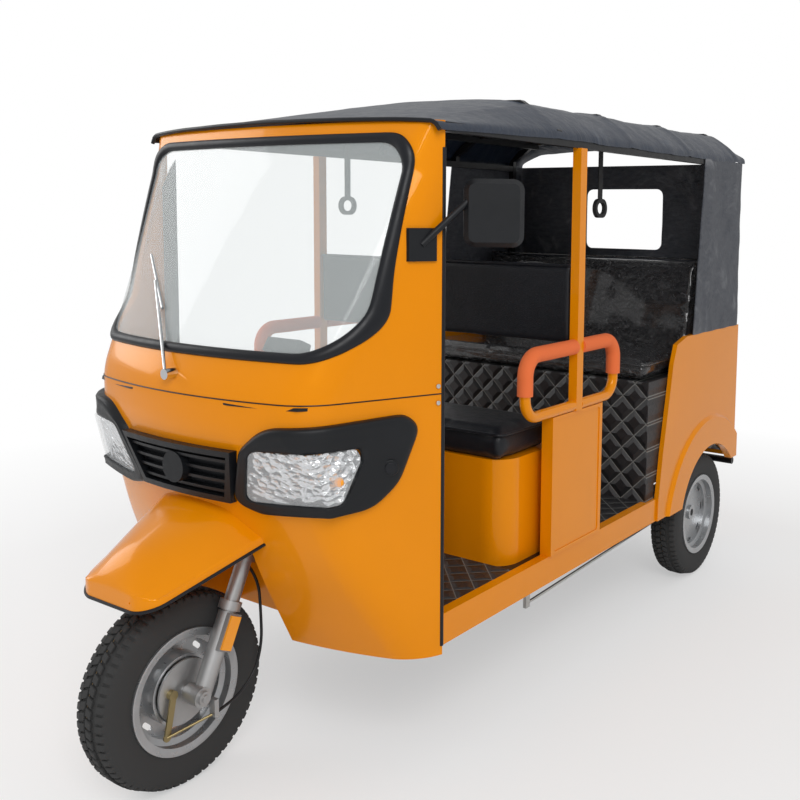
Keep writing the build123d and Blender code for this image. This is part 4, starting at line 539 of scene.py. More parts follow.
class Workbench:
    """Short ways to model one piece by hand and to put it in place."""

    @staticmethod
    def clear() -> None:
        """Leave edit mode and deselect everything."""
        if bpy.context.object and bpy.context.object.mode != "OBJECT":
            bpy.ops.object.mode_set(mode="OBJECT")
        bpy.ops.object.select_all(action="DESELECT")

    @classmethod
    def only(cls, obj: bpy.types.Object) -> None:
        """Select one object alone and make it active."""
        cls.clear()
        obj.select_set(True)
        bpy.context.view_layer.objects.active = obj

    @classmethod
    def box(cls, name: str, low: Point, high: Point, round_r: float = 0.0, segments: int = 3) -> bpy.types.Object:
        """Add a box between two corners, its edges rounded.

        Args:
            name: Name of the piece.
            low: Lowest corner.
            high: Highest corner.
            round_r: Radius of its edges.
            segments: Steps of the rounding.

        Returns:
            The new object.
        """
        cls.clear()
        middle = [(a + b) / 2 for a, b in zip(low, high)]
        bpy.ops.mesh.primitive_cube_add(size=1, location=middle, scale=[b - a for a, b in zip(low, high)])
        obj = bpy.context.object
        obj.name = name
        bpy.ops.object.transform_apply(location=True, rotation=True, scale=True)
        if round_r:
            bpy.ops.object.mode_set(mode="EDIT")
            bpy.ops.mesh.select_all(action="SELECT")
            bpy.ops.mesh.bevel(offset=round_r, segments=segments, affect="EDGES")
            bpy.ops.object.mode_set(mode="OBJECT")
        return obj

    @classmethod
    def disc(cls, name: str, place: Point, axis: Point, radius: float, depth: float, round_r: float = 0.0,
             sides: int = 32) -> bpy.types.Object:
        """Add a short round bar along an axis, its rims rounded, and apply its place."""
        cls.clear()
        turn = Vector(axis).to_track_quat("Z", "Y").to_euler()
        bpy.ops.mesh.primitive_cylinder_add(vertices=sides, radius=radius, depth=depth, location=place, rotation=turn)
        obj = bpy.context.object
        obj.name = name
        bpy.ops.object.transform_apply(location=True, rotation=True, scale=True)
        if round_r:
            cls.modify(obj, "BEVEL", width=round_r, segments=3, limit_method="ANGLE", angle_limit=math.radians(50))
        return obj

    @classmethod
    def tube(cls, name: str, points: Sequence[Point], radius: float, sides: int = 3,
             closed: bool = False) -> bpy.types.Object:
        """Add a round tube along smooth points, as a mesh."""
        cls.clear()
        curve = bpy.data.curves.new(name, "CURVE")
        curve.dimensions = "3D"
        curve.bevel_depth = radius
        curve.bevel_resolution = sides
        curve.use_fill_caps = True
        spline = curve.splines.new("NURBS")
        spline.points.add(len(points) - 1)
        for point, place in zip(spline.points, points):
            point.co = (*place, 1.0)
        spline.use_cyclic_u = closed
        spline.order_u = 3
        spline.use_endpoint_u = not closed
        spline.resolution_u = 4
        obj = bpy.data.objects.new(name, curve)
        bpy.context.scene.collection.objects.link(obj)
        cls.only(obj)
        bpy.ops.object.convert(target="MESH")
        return bpy.context.object

    @classmethod
    def patch(cls, name: str, columns: int, rows: int, shape: Callable[[float, float], Point]) -> bpy.types.Object:
        """Add a grid and move its points to a surface given by two shares from 0 to 1."""
        cls.clear()
        bpy.ops.mesh.primitive_grid_add(x_subdivisions=columns, y_subdivisions=rows, size=2)
        obj = bpy.context.object
        obj.name = name
        for vertex in obj.data.vertices:
            vertex.co = shape((vertex.co.x + 1) / 2, (vertex.co.y + 1) / 2)
        return obj

    @classmethod
    def modify(cls, obj: bpy.types.Object, kind: str, **settings: object) -> None:
        """Add a modifier with its settings and apply it."""
        cls.only(obj)
        modifier = obj.modifiers.new(kind.lower(), kind)
        for key, value in settings.items():
            setattr(modifier, key, value)
        bpy.ops.object.modifier_apply(modifier=modifier.name)

    @classmethod
    def smooth(cls, obj: bpy.types.Object, angle: float = 35.0) -> None:
        """Shade an object smooth up to an angle."""
        cls.only(obj)
        bpy.ops.object.shade_smooth_by_angle(angle=math.radians(angle))

    @classmethod
    def join(cls, name: str, pieces: Sequence[bpy.types.Object]) -> bpy.types.Object:
        """Join several objects into one mesh."""
        cls.only(pieces[0])
        for piece in pieces:
            piece.select_set(True)
        if len(pieces) > 1:
            bpy.ops.object.join()
        obj = bpy.context.object
        obj.name = name
        return obj

    @classmethod
    def outward(cls, obj: bpy.types.Object) -> None:
        """Merge doubled points and turn all faces outwards."""
        cls.only(obj)
        bpy.ops.object.mode_set(mode="EDIT")
        bpy.ops.mesh.select_all(action="SELECT")
        bpy.ops.mesh.remove_doubles(threshold=1e-5)
        bpy.ops.mesh.normals_make_consistent(inside=False)
        bpy.ops.object.mode_set(mode="OBJECT")

    @classmethod
    def place(cls, obj: bpy.types.Object, finish: Finish, body: Body = Body.CHASSIS, slot: str = "",
              nodes: Sequence[str] = (), angle: float = 35.0) -> bpy.types.Object:
        """Finish a piece and let it ride on its body.

        Args:
            obj: The piece.
            finish: Its finish.
            body: The body that it moves with.
            slot: The record's slot that the finish belongs to; not used.
            nodes: The frame's nodes that it stands for.
            angle: Largest angle that is shaded smooth, in degrees.

        Returns:
            The piece.
        """
        if angle:
            cls.smooth(obj, angle)
        obj.data.materials.clear()
        obj.data.materials.append(finish.build())
        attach(obj, body.value)
        if nodes:
            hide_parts(*nodes)
        LOG.info("%s: %d faces", obj.name, len(obj.data.polygons))
        return obj


def at(station: float) -> float:
    """Turn a station behind the front axle into the frame's Y."""
    return FRONT_AXLE_Y + station


def blend(a: float, b: float, share: float) -> float:
    """Mix two numbers."""
    return a + (b - a) * share


def wrinkle(x: float, y: float, z: float, scale: float) -> float:
    """Give smooth noise from -1 to 1 at a place."""
    return noise.noise(Vector((x, y, z)) * scale)


@dataclass
class RoofCloth:
    """Canopy over the bows and the curtain behind it."""

    half: float = 0.575
    crease_x: float = 0.520
    shoulder_x: float = 0.430
    flap: float = 0.022
    bows: tuple[float, ...] = (0.978, 1.466, 1.954, 2.442)
    sections: tuple[tuple[float, ...], ...] = (
        # station, then heights of the flap's edge, crease, shoulder and crown
        (0.335, 1.726, 1.752, 1.757, 1.764),
        (0.978, 1.743, 1.815, 1.870, 1.884),
        (2.442, 1.743, 1.822, 1.874, 1.886),
        (2.540, 1.743, 1.790, 1.818, 1.826),
    )
    header_bow_r: float = 3.0
    cloth_t: float = 0.003
    cloth_inset: float = 0.004
    curtain_rear: float = 2.534
    curtain_corner_r: float = 0.024
    curtain_low: float = 1.046
    curtain_top: float = 1.742
    curtain_front: tuple[float, float] = (2.045, 2.114)
    right_reach: float = 0.38
    window: tuple[float, float, float] = (0.195, 1.360, 1.635)

    def heights(self, station: float) -> list[float]:
        """Give the four heights at a station."""
        for low, high in zip(self.sections, self.sections[1:]):
            if station <= high[0]:
                share = max(0.0, (station - low[0]) / (high[0] - low[0]))
                return [blend(a, b, share) for a, b in zip(low[1:], high[1:])]
        return list(self.sections[-1][1:])

    def profile(self, station: float) -> list[tuple[float, float]]:
        """Give a rounded cross-section from the right flap to the left one."""
        flap_z, crease_z, shoulder_z, crown_z = self.heights(station)
        right = [(self.half, flap_z), (self.half, flap_z + self.flap), (self.crease_x, crease_z),
                 (self.shoulder_x, shoulder_z)]
        line = [(-x, z) for x, z in right] + [(0, crown_z)] + right[::-1]
        for _ in range(2):
            cut = [line[0]]
            for a, b in zip(line, line[1:]):
                cut += [(blend(a[0], b[0], 0.25), blend(a[1], b[1], 0.25)),
                        (blend(a[0], b[0], 0.75), blend(a[1], b[1], 0.75))]
            line = cut + [line[-1]]
        return line

    def front_edge(self, x: float) -> float:
        """Give the station of the canopy's front edge, which follows the header's bow."""
        back = self.header_bow_r - math.sqrt(self.header_bow_r**2 - x**2)
        return 0.338 + back

    def point(self, across: float, along: float) -> Point:
        """Give one point of the canopy."""
        station = blend(self.sections[0][0], self.sections[-1][0], along)
        line = self.profile(station)
        lengths = [0.0]
        for a, b in zip(line, line[1:]):
            lengths.append(lengths[-1] + math.dist(a, b))
        target = across * lengths[-1]
        index = max(i for i, total in enumerate(lengths[:-1]) if total <= target)
        share = (target - lengths[index]) / (lengths[index + 1] - lengths[index])
        x = blend(line[index][0], line[index + 1][0], share)
        z = blend(line[index][1], line[index + 1][1], share)
        front = self.front_edge(x)
        late = max(0.0, 1 - (station - self.sections[0][0]) / (self.bows[0] - self.sections[0][0]))
        y = station + (front - self.sections[0][0]) * late
        calm = min(1.0, max(0.0, (station - 0.9) / 0.3))
        bow = min(abs(station - b) for b in self.bows)
        sag = 0.007 * calm * math.sin(min(1.0, bow / 0.24) * math.pi / 2) * (1 - abs(x) / 0.6)
        rib = 0.004 * calm * math.exp(-((bow / 0.016) ** 2))
        fold = (0.0035 * calm + 0.0012) * wrinkle(x * 1.5, y, z, 5.0) + 0.0018 * calm * wrinkle(x, y * 2, z, 14.0)
        low = min(1.0, abs(x) / self.half)
        side = 0.004 * calm * low**6 * wrinkle(0.0, y, 1.0 if x > 0 else 2.0, 12.0)
        return (x + math.copysign(side, x) - math.copysign(0.004, x) * low**6, at(y), z - sag + rib + fold - 0.004)

    def canopy(self) -> None:
        """Make the canopy sheet with its front piping."""
        cloth = Workbench.patch("canopy_cloth", 120, 150, self.point)
        Workbench.modify(cloth, "SOLIDIFY", thickness=self.cloth_t, offset=-1)
        Workbench.outward(cloth)
        Workbench.place(cloth, CANOPY, slot="canopy_vinyl", nodes=("roof_canopy",), angle=50)
        edge = [self.point(i / 40, 0.0) for i in range(41)]
        piping = Workbench.tube("canopy_front_piping", [(x, y + 0.003, z - 0.001) for x, y, z in edge], 0.006)
        Workbench.place(piping, GASKET, slot="canopy_vinyl")

    def wall(self, share: float, height: float) -> Point:
        """Give one point of the curtain: share runs from the left front edge round the back."""
        front = blend(*self.curtain_front, height)
        radius = self.curtain_corner_r
        half = self.half - self.cloth_inset
        side = self.curtain_rear - radius - front
        back = 2 * (half - radius)
        arc = radius * math.pi / 2
        total = 2 * side + 2 * arc + back
        s = share * total
        if s > total / 2:
            x, y, z = self.wall(1 - share, height)
            gap = at(self.curtain_rear - radius) - y
            return (-x, y - max(0.0, gap) * self.right_reach, z)
        z = blend(self.curtain_low, self.curtain_top, height)
        if s <= side:
            return (half, at(front + s), z)
        if s <= side + arc:
            turn = (s - side) / radius
            return (half - radius + radius * math.cos(turn), at(self.curtain_rear - radius + radius * math.sin(turn)),
                    z)
        return (half - radius - (s - side - arc), at(self.curtain_rear), z)

    def curtain_point(self, share: float, height: float) -> Point:
        """Give one point of the curtain with its folds."""
        x, y, z = self.wall(share, height)
        ahead = Vector(self.wall(min(1.0, share + 0.002), height)) - Vector(self.wall(max(0.0, share - 0.002), height))
        out = Vector((ahead.y, -ahead.x, 0)).normalized()
        if out.dot(Vector((x, y - at(1.6), 0))) < 0:
            out = -out
        held = min(1.0, 6 * min(height, 1 - height) + 0.15)
        edge = min(1.0, 8 * min(share, 1 - share) + 0.3)
        drape = 0.0060 * wrinkle(share * 5 + 0.6 * height, height * 1.3, 3.0, 2.2)
        fine = 0.0030 * wrinkle(share * 9 - 0.8 * height, height * 3, 7.0, 3.0)
        pull = 0.0025 * math.sin(share * 95 + 4 * height) * max(0.0, 1 - 4 * height) * 0.6
        return tuple(Vector((x, y, z)) + out * ((drape + fine) * held * edge + pull - 0.001))

    def curtain(self) -> None:
        """Make the curtain with its window and hems."""
        cloth = Workbench.patch("curtain_cloth", 220, 60, self.curtain_point)
        Workbench.modify(cloth, "SOLIDIFY", thickness=self.cloth_t, offset=0)
        half, low, high = self.window
        hole = Workbench.box("window_hole", (-half, at(self.curtain_rear - 0.08), low),
                             (half, at(self.curtain_rear + 0.08), high), 0.03, 4)
        Workbench.modify(cloth, "BOOLEAN", operation="DIFFERENCE", object=hole, solver="EXACT")
        bpy.data.objects.remove(hole)
        Workbench.place(cloth, CURTAIN, slot="curtain_vinyl", nodes=("rear_curtain",), angle=60)
        corner = 0.03
        ring = []
        for cx, cz, start in ((half - corner, high - corner, 0), (-half + corner, high - corner, 90),
                              (-half + corner, low + corner, 180), (half - corner, low + corner, 270)):
            for step in range(5):
                turn = math.radians(start + step * 22.5)
                ring.append((cx + (corner + 0.006) * math.cos(turn), at(self.curtain_rear + 0.0035),
                             cz + (corner + 0.006) * math.sin(turn)))
        hem = Workbench.tube("curtain_window_hem", ring, 0.0045, closed=True)
        Workbench.place(hem, CURTAIN, slot="curtain_vinyl")
        edges = [Workbench.tube("curtain_edge", [self.curtain_point(share, i / 20) for i in range(21)], 0.004)
                 for share in (0.001, 0.999)]
        Workbench.place(Workbench.join("curtain_front_hems", edges), CURTAIN, slot="curtain_vinyl")

    def build(self) -> None:
        """Make all of the roof's cloth."""
        self.canopy()
        self.curtain()


@dataclass
class Cushion:
    """One upholstered pad, crowned and seamed, that fills the space of its node."""

    name: str
    node: str
    low: Point
    high: Point
    finish: Finish
    slot: str
    corner_r: float = 0.03
    crown: float = 0.012
    lean: float = 0.0
    pivot: tuple[float, float] = (0.0, 0.0)
    voxel: float = 0.009
    fill: float = 0.8
    channels: tuple[float, ...] = ()
    swell: float = 0.010

    def turned(self, place: Vector) -> Vector:
        """Lean a point back about the pad's foot."""
        if not self.lean:
            return place
        turn = math.radians(self.lean)
        y, z = place.y - self.pivot[0], place.z - self.pivot[1]
        return Vector((place.x, self.pivot[0] + y * math.cos(turn) + z * math.sin(turn),
                       self.pivot[1] - y * math.sin(turn) + z * math.cos(turn)))

    def inflate(self, pad: bpy.types.Object) -> None:
        """Let the cover swell by a short cloth simulation, each point kept near its start."""
        start = [vertex.co.copy() for vertex in pad.data.vertices]
        Workbench.only(pad)
        cloth = pad.modifiers.new("swell", "CLOTH")
        cloth.settings.use_pressure = True
        cloth.settings.uniform_pressure_force = 4.0
        cloth.settings.effector_weights.gravity = 0.0
        cloth.settings.quality = 4
        cloth.point_cache.frame_start = 1
        cloth.point_cache.frame_end = 14
        for number in range(1, 15):
            bpy.context.scene.frame_set(number)
        bpy.ops.object.modifier_apply(modifier=cloth.name)
        bpy.context.scene.frame_set(1)
        for vertex, first in zip(pad.data.vertices, start):
            move = vertex.co - first
            if move.length > self.swell:
                vertex.co = first + move.normalized() * self.swell

    def build(self) -> None:
        """Make the pad, its piping and its sewn channels."""
        shrink = self.swell * 0.7
        low = tuple(a + shrink for a in self.low)
        high = tuple(b - shrink for b in self.high)
        pad = Workbench.box(self.name, low, high, self.corner_r, 4)
        Workbench.modify(pad, "REMESH", mode="VOXEL", voxel_size=self.voxel)
        self.inflate(pad)
        middle = [(a + b) / 2 for a, b in zip(low, high)]
        span = [(b - a) / 2 for a, b in zip(low, high)]
        for vertex in pad.data.vertices:
            rel = [(c - m) / s for c, m, s in zip(vertex.co, middle, span)]
            lift = self.crown * (1 - rel[0] ** 4) * (1 - rel[1] ** 4) if rel[2] > 0.4 else 0.0
            dip = sum(0.007 * math.exp(-(((vertex.co.x - c) / 0.010) ** 2)) for c in self.channels)
            crease = 0.0016 * wrinkle(vertex.co.x, vertex.co.y, vertex.co.z, 14.0)
            vertex.co.z += lift * (1 if rel[2] > 0.4 else 0) - (dip if rel[2] > 0.4 else 0) + crease
            vertex.co.z = min(max(vertex.co.z, self.low[2] + 0.0006), self.high[2] + 0.006)
            vertex.co.y = min(max(vertex.co.y, self.low[1] - 0.004), self.high[1] - 0.001)
        for vertex in pad.data.vertices:
            vertex.co = self.turned(vertex.co)
        Workbench.modify(pad, "SMOOTH", factor=0.5, iterations=3)
        Workbench.place(pad, self.finish, slot=self.slot, nodes=(self.node,), angle=60)
        inset = self.corner_r * 0.28
        x0, x1 = self.low[0] + inset, self.high[0] - inset
        y0, y1, z = self.low[1] + inset, self.high[1] - inset, self.high[2] - inset - 0.004
        r = self.corner_r
        ring = []
        for cx, cy, start in ((x1 - r, y1 - r, 0), (x0 + r, y1 - r, 90), (x0 + r, y0 + r, 180), (x1 - r, y0 + r, 270)):
            ring += [self.turned(Vector((cx + r * math.cos(math.radians(start + k * 30)),
                                         cy + r * math.sin(math.radians(start + k * 30)), z))) for k in range(4)]
        piping = Workbench.tube(f"{self.name}_piping", [tuple(p) for p in ring], 0.004, closed=True)
        Workbench.place(piping, self.finish, slot=self.slot)


@dataclass
class TreadRow:
    """One ring of tread blocks: place across, block size and how many."""

    x: float
    width: float
    length: float
    count: int
    phase: float = 0.0
    skew: float = 0.0


@dataclass
class Tyre:
    """Tyre carcass with a block tread, on its wheel's plane."""

    name: str
    node: str
    centre: Point
    body: Body
    radius: float = 0.2595
    side: tuple[tuple[float, float], ...] = (
        (0.0497, 0.1503), (0.0497, 0.168), (0.0535, 0.176), (0.0548, 0.190), (0.056, 0.206), (0.0558, 0.222),
        (0.0535, 0.236), (0.050, 0.2445), (0.044, 0.2475), (0.022, 0.2515), (0.0, 0.2525))
    rows: tuple[TreadRow, ...] = (
        TreadRow(-0.040, 0.020, 0.0175, 66), TreadRow(0.040, 0.020, 0.0175, 66, 0.5),
        TreadRow(-0.0165, 0.020, 0.0200, 60, 0.25, 0.5), TreadRow(0.0075, 0.020, 0.0200, 60, 0.75, -0.5))

    def carcass(self) -> bpy.types.Object:
        """Spin the tyre's outline about the axle."""
        line = [*self.side, *[(-x, r) for x, r in self.side[-2::-1]]]
        Workbench.clear()
        mesh = bpy.data.meshes.new(self.name)
        count = len(line)
        mesh.from_pydata([(self.centre[0] + x, self.centre[1], self.centre[2] + r) for x, r in line],
                         [(i, (i + 1) % count) for i in range(count)], [])
        obj = bpy.data.objects.new(self.name, mesh)
        bpy.context.scene.collection.objects.link(obj)
        Workbench.only(obj)
        bpy.ops.object.mode_set(mode="EDIT")
        bpy.ops.mesh.select_all(action="SELECT")
        bpy.ops.mesh.spin(steps=96, angle=2 * math.pi, center=self.centre, axis=(1, 0, 0))
        bpy.ops.object.mode_set(mode="OBJECT")
        Workbench.outward(obj)
        return obj

    def block(self, row: TreadRow) -> bpy.types.Object:
        """Model one tread block at the top of the wheel."""
        floor = 0.2455 if abs(row.x) > 0.03 else 0.2500
        top = self.radius - 0.0045 * (abs(row.x) / 0.040) ** 2
        block = Workbench.box("tread_block", (row.x - row.width / 2, -row.length / 2, floor),
                              (row.x + row.width / 2, row.length / 2, top), 0.0014, 1)
        for vertex in block.data.vertices:
            across = (vertex.co.x - row.x) / (row.width / 2)
            vertex.co.y += row.skew * across * row.length * 0.35
            if abs(row.x) > 0.03 and across * math.copysign(1, row.x) > 0:
                vertex.co.z -= 0.0045 if vertex.co.z > floor + 0.004 else 0.010
                vertex.co.x += math.copysign(0.0035, row.x) if vertex.co.z < floor + 0.002 else 0.0
        return block

    def build(self) -> None:
        """Make the tyre and its tread, joined as one piece."""
        pieces = [self.carcass()]
        for row in self.rows:
            block = self.block(row)
            for number in range(row.count):
                copy = block if number == row.count - 1 else block.copy()
                if copy is not block:
                    copy.data = block.data.copy()
                    bpy.context.scene.collection.objects.link(copy)
                turn = Matrix.Rotation(2 * math.pi * (number + row.phase) / row.count, 4, "X")
                copy.data.transform(Matrix.Translation(self.centre) @ turn)
                pieces.append(copy)
        tyre = Workbench.join(self.name, pieces)
        Workbench.place(tyre, TYRE, self.body, "tyre_rubber", (self.node,), angle=40)
        line = [(self.centre[0] - 0.0045, self.centre[1] + 0.2527 * math.cos(t), self.centre[2] + 0.2527 * math.sin(t))
                for t in (2 * math.pi * i / 60 for i in range(60))]
        mould = Workbench.tube(f"{self.name}_mould_line", line, 0.0009, 1, closed=True)
        Workbench.place(mould, THREAD, self.body, "tyre_rubber")


@dataclass(frozen=True)
class CowlForm:
    """Outside surface of the cowl: a bowed front turning into flared sides."""

    front_half: float = 0.389
    rear_half: float = 0.562
    front_y: float = 0.014
    rear_y: float = 0.430
    corner_r: float = 0.165
    bow_r: float = 1.390
    header_r: float = 3.0
    low: float = 0.335
    seam: float = 1.045
    high: float = 1.748
    profile: tuple[Point, ...] = (
        # height, station of the front's middle, and half the length over which the bend is rounded
        (0.335, 0.2485, 0.0),
        (0.600, 0.116, 0.09),
        (0.940, 0.014, 0.05),
        (1.067, 0.014, 0.035),
        (1.748, 0.3476, 0.0),
    )

    def front(self, z: float) -> float:
        """Give the station of the front's middle at a height, its bends rounded."""
        z = min(max(z, self.low), self.high)
        rows = self.profile
        for index in range(len(rows) - 1):
            if z <= rows[index + 1][0] or index == len(rows) - 2:
                slope = (rows[index + 1][1] - rows[index][1]) / (rows[index + 1][0] - rows[index][0])
                value = rows[index][1] + slope * (z - rows[index][0])
                for corner in (index, index + 1):
                    reach = rows[corner][2]
                    gap = abs(z - rows[corner][0])
                    if reach and gap < reach:
                        before = rows[corner - 1]
                        after = rows[corner + 1]
                        here = rows[corner]
                        rise_after = (after[1] - here[1]) / (after[0] - here[0])
                        rise_before = (here[1] - before[1]) / (here[0] - before[0])
                        turn = rise_after - rise_before
                        value += turn * (reach - gap) ** 2 / (4 * reach)
                return value
        return rows[-1][1]

    def bow_at(self, z: float) -> float:
        """Give the front's bow radius at a height: flatter towards the header."""
        share = max(0.0, (z - 1.2) / (self.high - 1.2))
        return blend(self.bow_r, self.header_r, share**2)

    @functools.lru_cache(maxsize=4096)
    def half_outline(self, z: float) -> tuple[tuple[float, float], ...]:
        """Give the left half of the plan outline at a height, from the middle to the door edge."""
        flare = (self.rear_half - self.front_half) / (self.rear_y - self.front_y)
        start = self.front(z)
        bow_r = self.bow_at(z)

        def bow(x: float) -> float:
            return start + bow_r - math.sqrt(bow_r**2 - x * x)

        corner_x = self.front_half
        for _ in range(8):
            corner_x = self.front_half + flare * (bow(corner_x) - self.front_y)
        corner = Vector((corner_x, bow(corner_x)))
        rear = Vector((self.rear_half, self.rear_y))
        slope = corner_x / math.sqrt(bow_r**2 - corner_x**2)
        along = Vector((1.0, slope)).normalized()
        back = (rear - corner).normalized()
        reach = min(self.corner_r * math.tan(along.angle(back) / 2), (rear - corner).length * 0.92)
        first_x = corner_x - reach * along.x
        first = Vector((first_x, bow(first_x)))
        last = corner + back * reach
        points = [Vector((first_x * i / 12, bow(first_x * i / 12))) for i in range(12)]
        for i in range(17):
            s = i / 16
            a, b = first.lerp(corner, 0.60), last.lerp(corner, 0.60)
            points.append(first * (1 - s) ** 3 + a * 3 * s * (1 - s) ** 2 + b * 3 * s * s * (1 - s) + last * s**3)
        points += [last.lerp(rear, i / 8) for i in range(1, 9)]
        return tuple((p.x, p.y) for p in points)

    def around(self, share: float, z: float) -> Point:
        """Give a point at a share of the way round, from the right door edge to the left one."""
        side = 1 if share >= 0.5 else -1
        line = self.half_outline(round(z, 5))
        lengths = [0.0]
        for a, b in zip(line, line[1:]):
            lengths.append(lengths[-1] + math.dist(a, b))
        target = abs(share - 0.5) * 2 * lengths[-1]
        index = bisect.bisect_right(lengths, target, 0, len(lengths) - 1) - 1
        index = min(index, len(line) - 2)
        part = (target - lengths[index]) / (lengths[index + 1] - lengths[index])
        return (side * blend(line[index][0], line[index + 1][0], part),
                at(blend(line[index][1], line[index + 1][1], part)), z)

    def on(self, x: float, z: float, proud: float = 0.0) -> Point:
        """Give the point of the surface ahead of a place in the front view, raised off it."""
        line = self.half_outline(round(z, 4))
        wide = min(abs(x), self.rear_half - 1e-6)
        xs = [p[0] for p in line]
        index = min(bisect.bisect_right(xs, wide) - 1, len(line) - 2)
        part = (wide - xs[index]) / (xs[index + 1] - xs[index])
        y = blend(line[index][1], line[index + 1][1], part)
        run = Vector((line[index + 1][0] - line[index][0], line[index + 1][1] - line[index][1])).normalized()
        rise = (self.front(z + 0.005) - self.front(z - 0.005)) / 0.01
        out = Vector((run.y, -run.x, rise * run.x)).normalized()
        out.x = math.copysign(out.x, x)
        return (x + out.x * proud, at(y) + out.y * proud, z + out.z * proud)


@dataclass
class Cowl:
    """Cowl sheet with its screen opening, seam, gasket, glass and edge trim."""

    form: CowlForm = field(default_factory=CowlForm)
    sheet_t: float = 0.011
    arch_half: float = 0.172
    arch_top: float = 0.655
    screen_low: float = 1.155
    screen_high: float = 1.702
    half_low: float = 0.490
    half_high: float = 0.502
    corner_low: float = 0.135
    corner_high: float = 0.075

    def opening(self, grow: float = 0.0, steps: int = 10) -> list[tuple[float, float]]:
        """Give the screen's outline in the front view, from the top left corner round."""
        low, high = self.screen_low - grow, self.screen_high + grow
        points = []
        for side, level, radius, start in ((1, high, self.corner_high, 0), (-1, high, self.corner_high, 90),
                                           (-1, low, self.corner_low, 180), (1, low, self.corner_low, 270)):
            half = (self.half_high if level == high else self.half_low) + grow
            cx, cz = side * (half - radius), level - radius if level == high else level + radius
            points += [(cx + radius * math.cos(math.radians(start + 90 * i / steps)),
                        cz + radius * math.sin(math.radians(start + 90 * i / steps))) for i in range(steps + 1)]
        return points

    def loop(self, grow: float, count: int) -> list[tuple[float, float]]:
        """Give evenly spaced points of the outline."""
        points = self.opening(grow)
        points.append(points[0])
        lengths = [0.0]
        for a, b in zip(points, points[1:]):
            lengths.append(lengths[-1] + math.dist(a, b))
        out = []
        for number in range(count):
            target = lengths[-1] * number / count
            index = min(bisect.bisect_right(lengths, target) - 1, len(points) - 2)
            part = (target - lengths[index]) / max(1e-9, lengths[index + 1] - lengths[index])
            out.append((blend(points[index][0], points[index + 1][0], part),
                        blend(points[index][1], points[index + 1][1], part)))
        return out

    def prism(self, grow: float) -> bpy.types.Object:
        """Make the cutter of the screen's opening."""
        line = self.loop(grow, 140)
        cutter = Workbench.patch("screen_cutter", 140, 1, lambda a, b: (
            line[round(a * 140) % 140][0], at(-0.2) + 0.9 * b, line[round(a * 140) % 140][1]))
        Workbench.outward(cutter)
        bpy.ops.object.mode_set(mode="EDIT")
        bpy.ops.mesh.select_all(action="DESELECT")
        bpy.ops.mesh.select_non_manifold(extend=False)
        bpy.ops.mesh.edge_face_add()
        bpy.ops.mesh.select_all(action="SELECT")
        bpy.ops.mesh.normals_make_consistent(inside=False)
        bpy.ops.object.mode_set(mode="OBJECT")
        return cutter

    def panel(self) -> None:
        """Make the painted sheet and cut its openings."""
        form = self.form
        sheet = Workbench.patch("cowl_sheet", 190, 150, lambda a, b: form.around(a, blend(form.low, form.high, b)))
        Workbench.only(sheet)
        Workbench.outward(sheet)
        middle = sheet.data.polygons[len(sheet.data.polygons) // 2 + 95]
        Workbench.modify(sheet, "SOLIDIFY", thickness=self.sheet_t, offset=-1 if middle.normal.y < 0 else 1)
        screen = self.prism(-0.004)
        arch = Workbench.box("arch_cutter", (-self.arch_half, at(-0.2), 0.1), (self.arch_half, at(0.42), self.arch_top),
                             0.045, 6)
        for cutter in (screen, arch):
            Workbench.modify(sheet, "BOOLEAN", operation="DIFFERENCE", object=cutter, solver="EXACT")
            bpy.data.objects.remove(cutter)
        Workbench.place(sheet, PAINT, slot="paint_yellow", nodes=("cowl_lower", "cowl_upper"), angle=40)

    def gasket(self) -> None:
        """Make the rubber round the screen, raised off the sheet."""
        count = 220
        rings = [self.loop(grow, count) for grow in (0.013, 0.012, 0.006, -0.003, -0.010, -0.011)]
        prouds = (0.000, 0.006, 0.0095, 0.0095, 0.003, -0.004)
        places = [[self.form.on(x, z, proud) for x, z in ring] for ring, proud in zip(rings, prouds)]
        rubber = Workbench.patch("screen_gasket", count, 5,
                                 lambda a, b: places[round(b * 5)][round(a * count) % count])
        Workbench.outward(rubber)
        Workbench.modify(rubber, "SOLIDIFY", thickness=0.003, offset=0)
        Workbench.modify(rubber, "SUBSURF", levels=1, render_levels=1)
        Workbench.place(rubber, GASKET, slot="black_rubber", nodes=("windshield_gasket",), angle=60)

    def glass(self) -> None:
        """Make the screen, inset in its gasket."""
        pane = Workbench.patch("screen_pane", 90, 50, lambda a, b: self.form.on(
            blend(-0.52, 0.52, a), blend(self.screen_low - 0.01, self.screen_high + 0.01, b), -0.001))
        Workbench.modify(pane, "SOLIDIFY", thickness=0.004, offset=0)
        edge = self.prism(-0.006)
        Workbench.modify(pane, "BOOLEAN", operation="INTERSECT", object=edge, solver="EXACT")
        bpy.data.objects.remove(edge)
        Workbench.place(pane, SCREEN, slot="screen_glass", nodes=("windshield_glass",), angle=40)

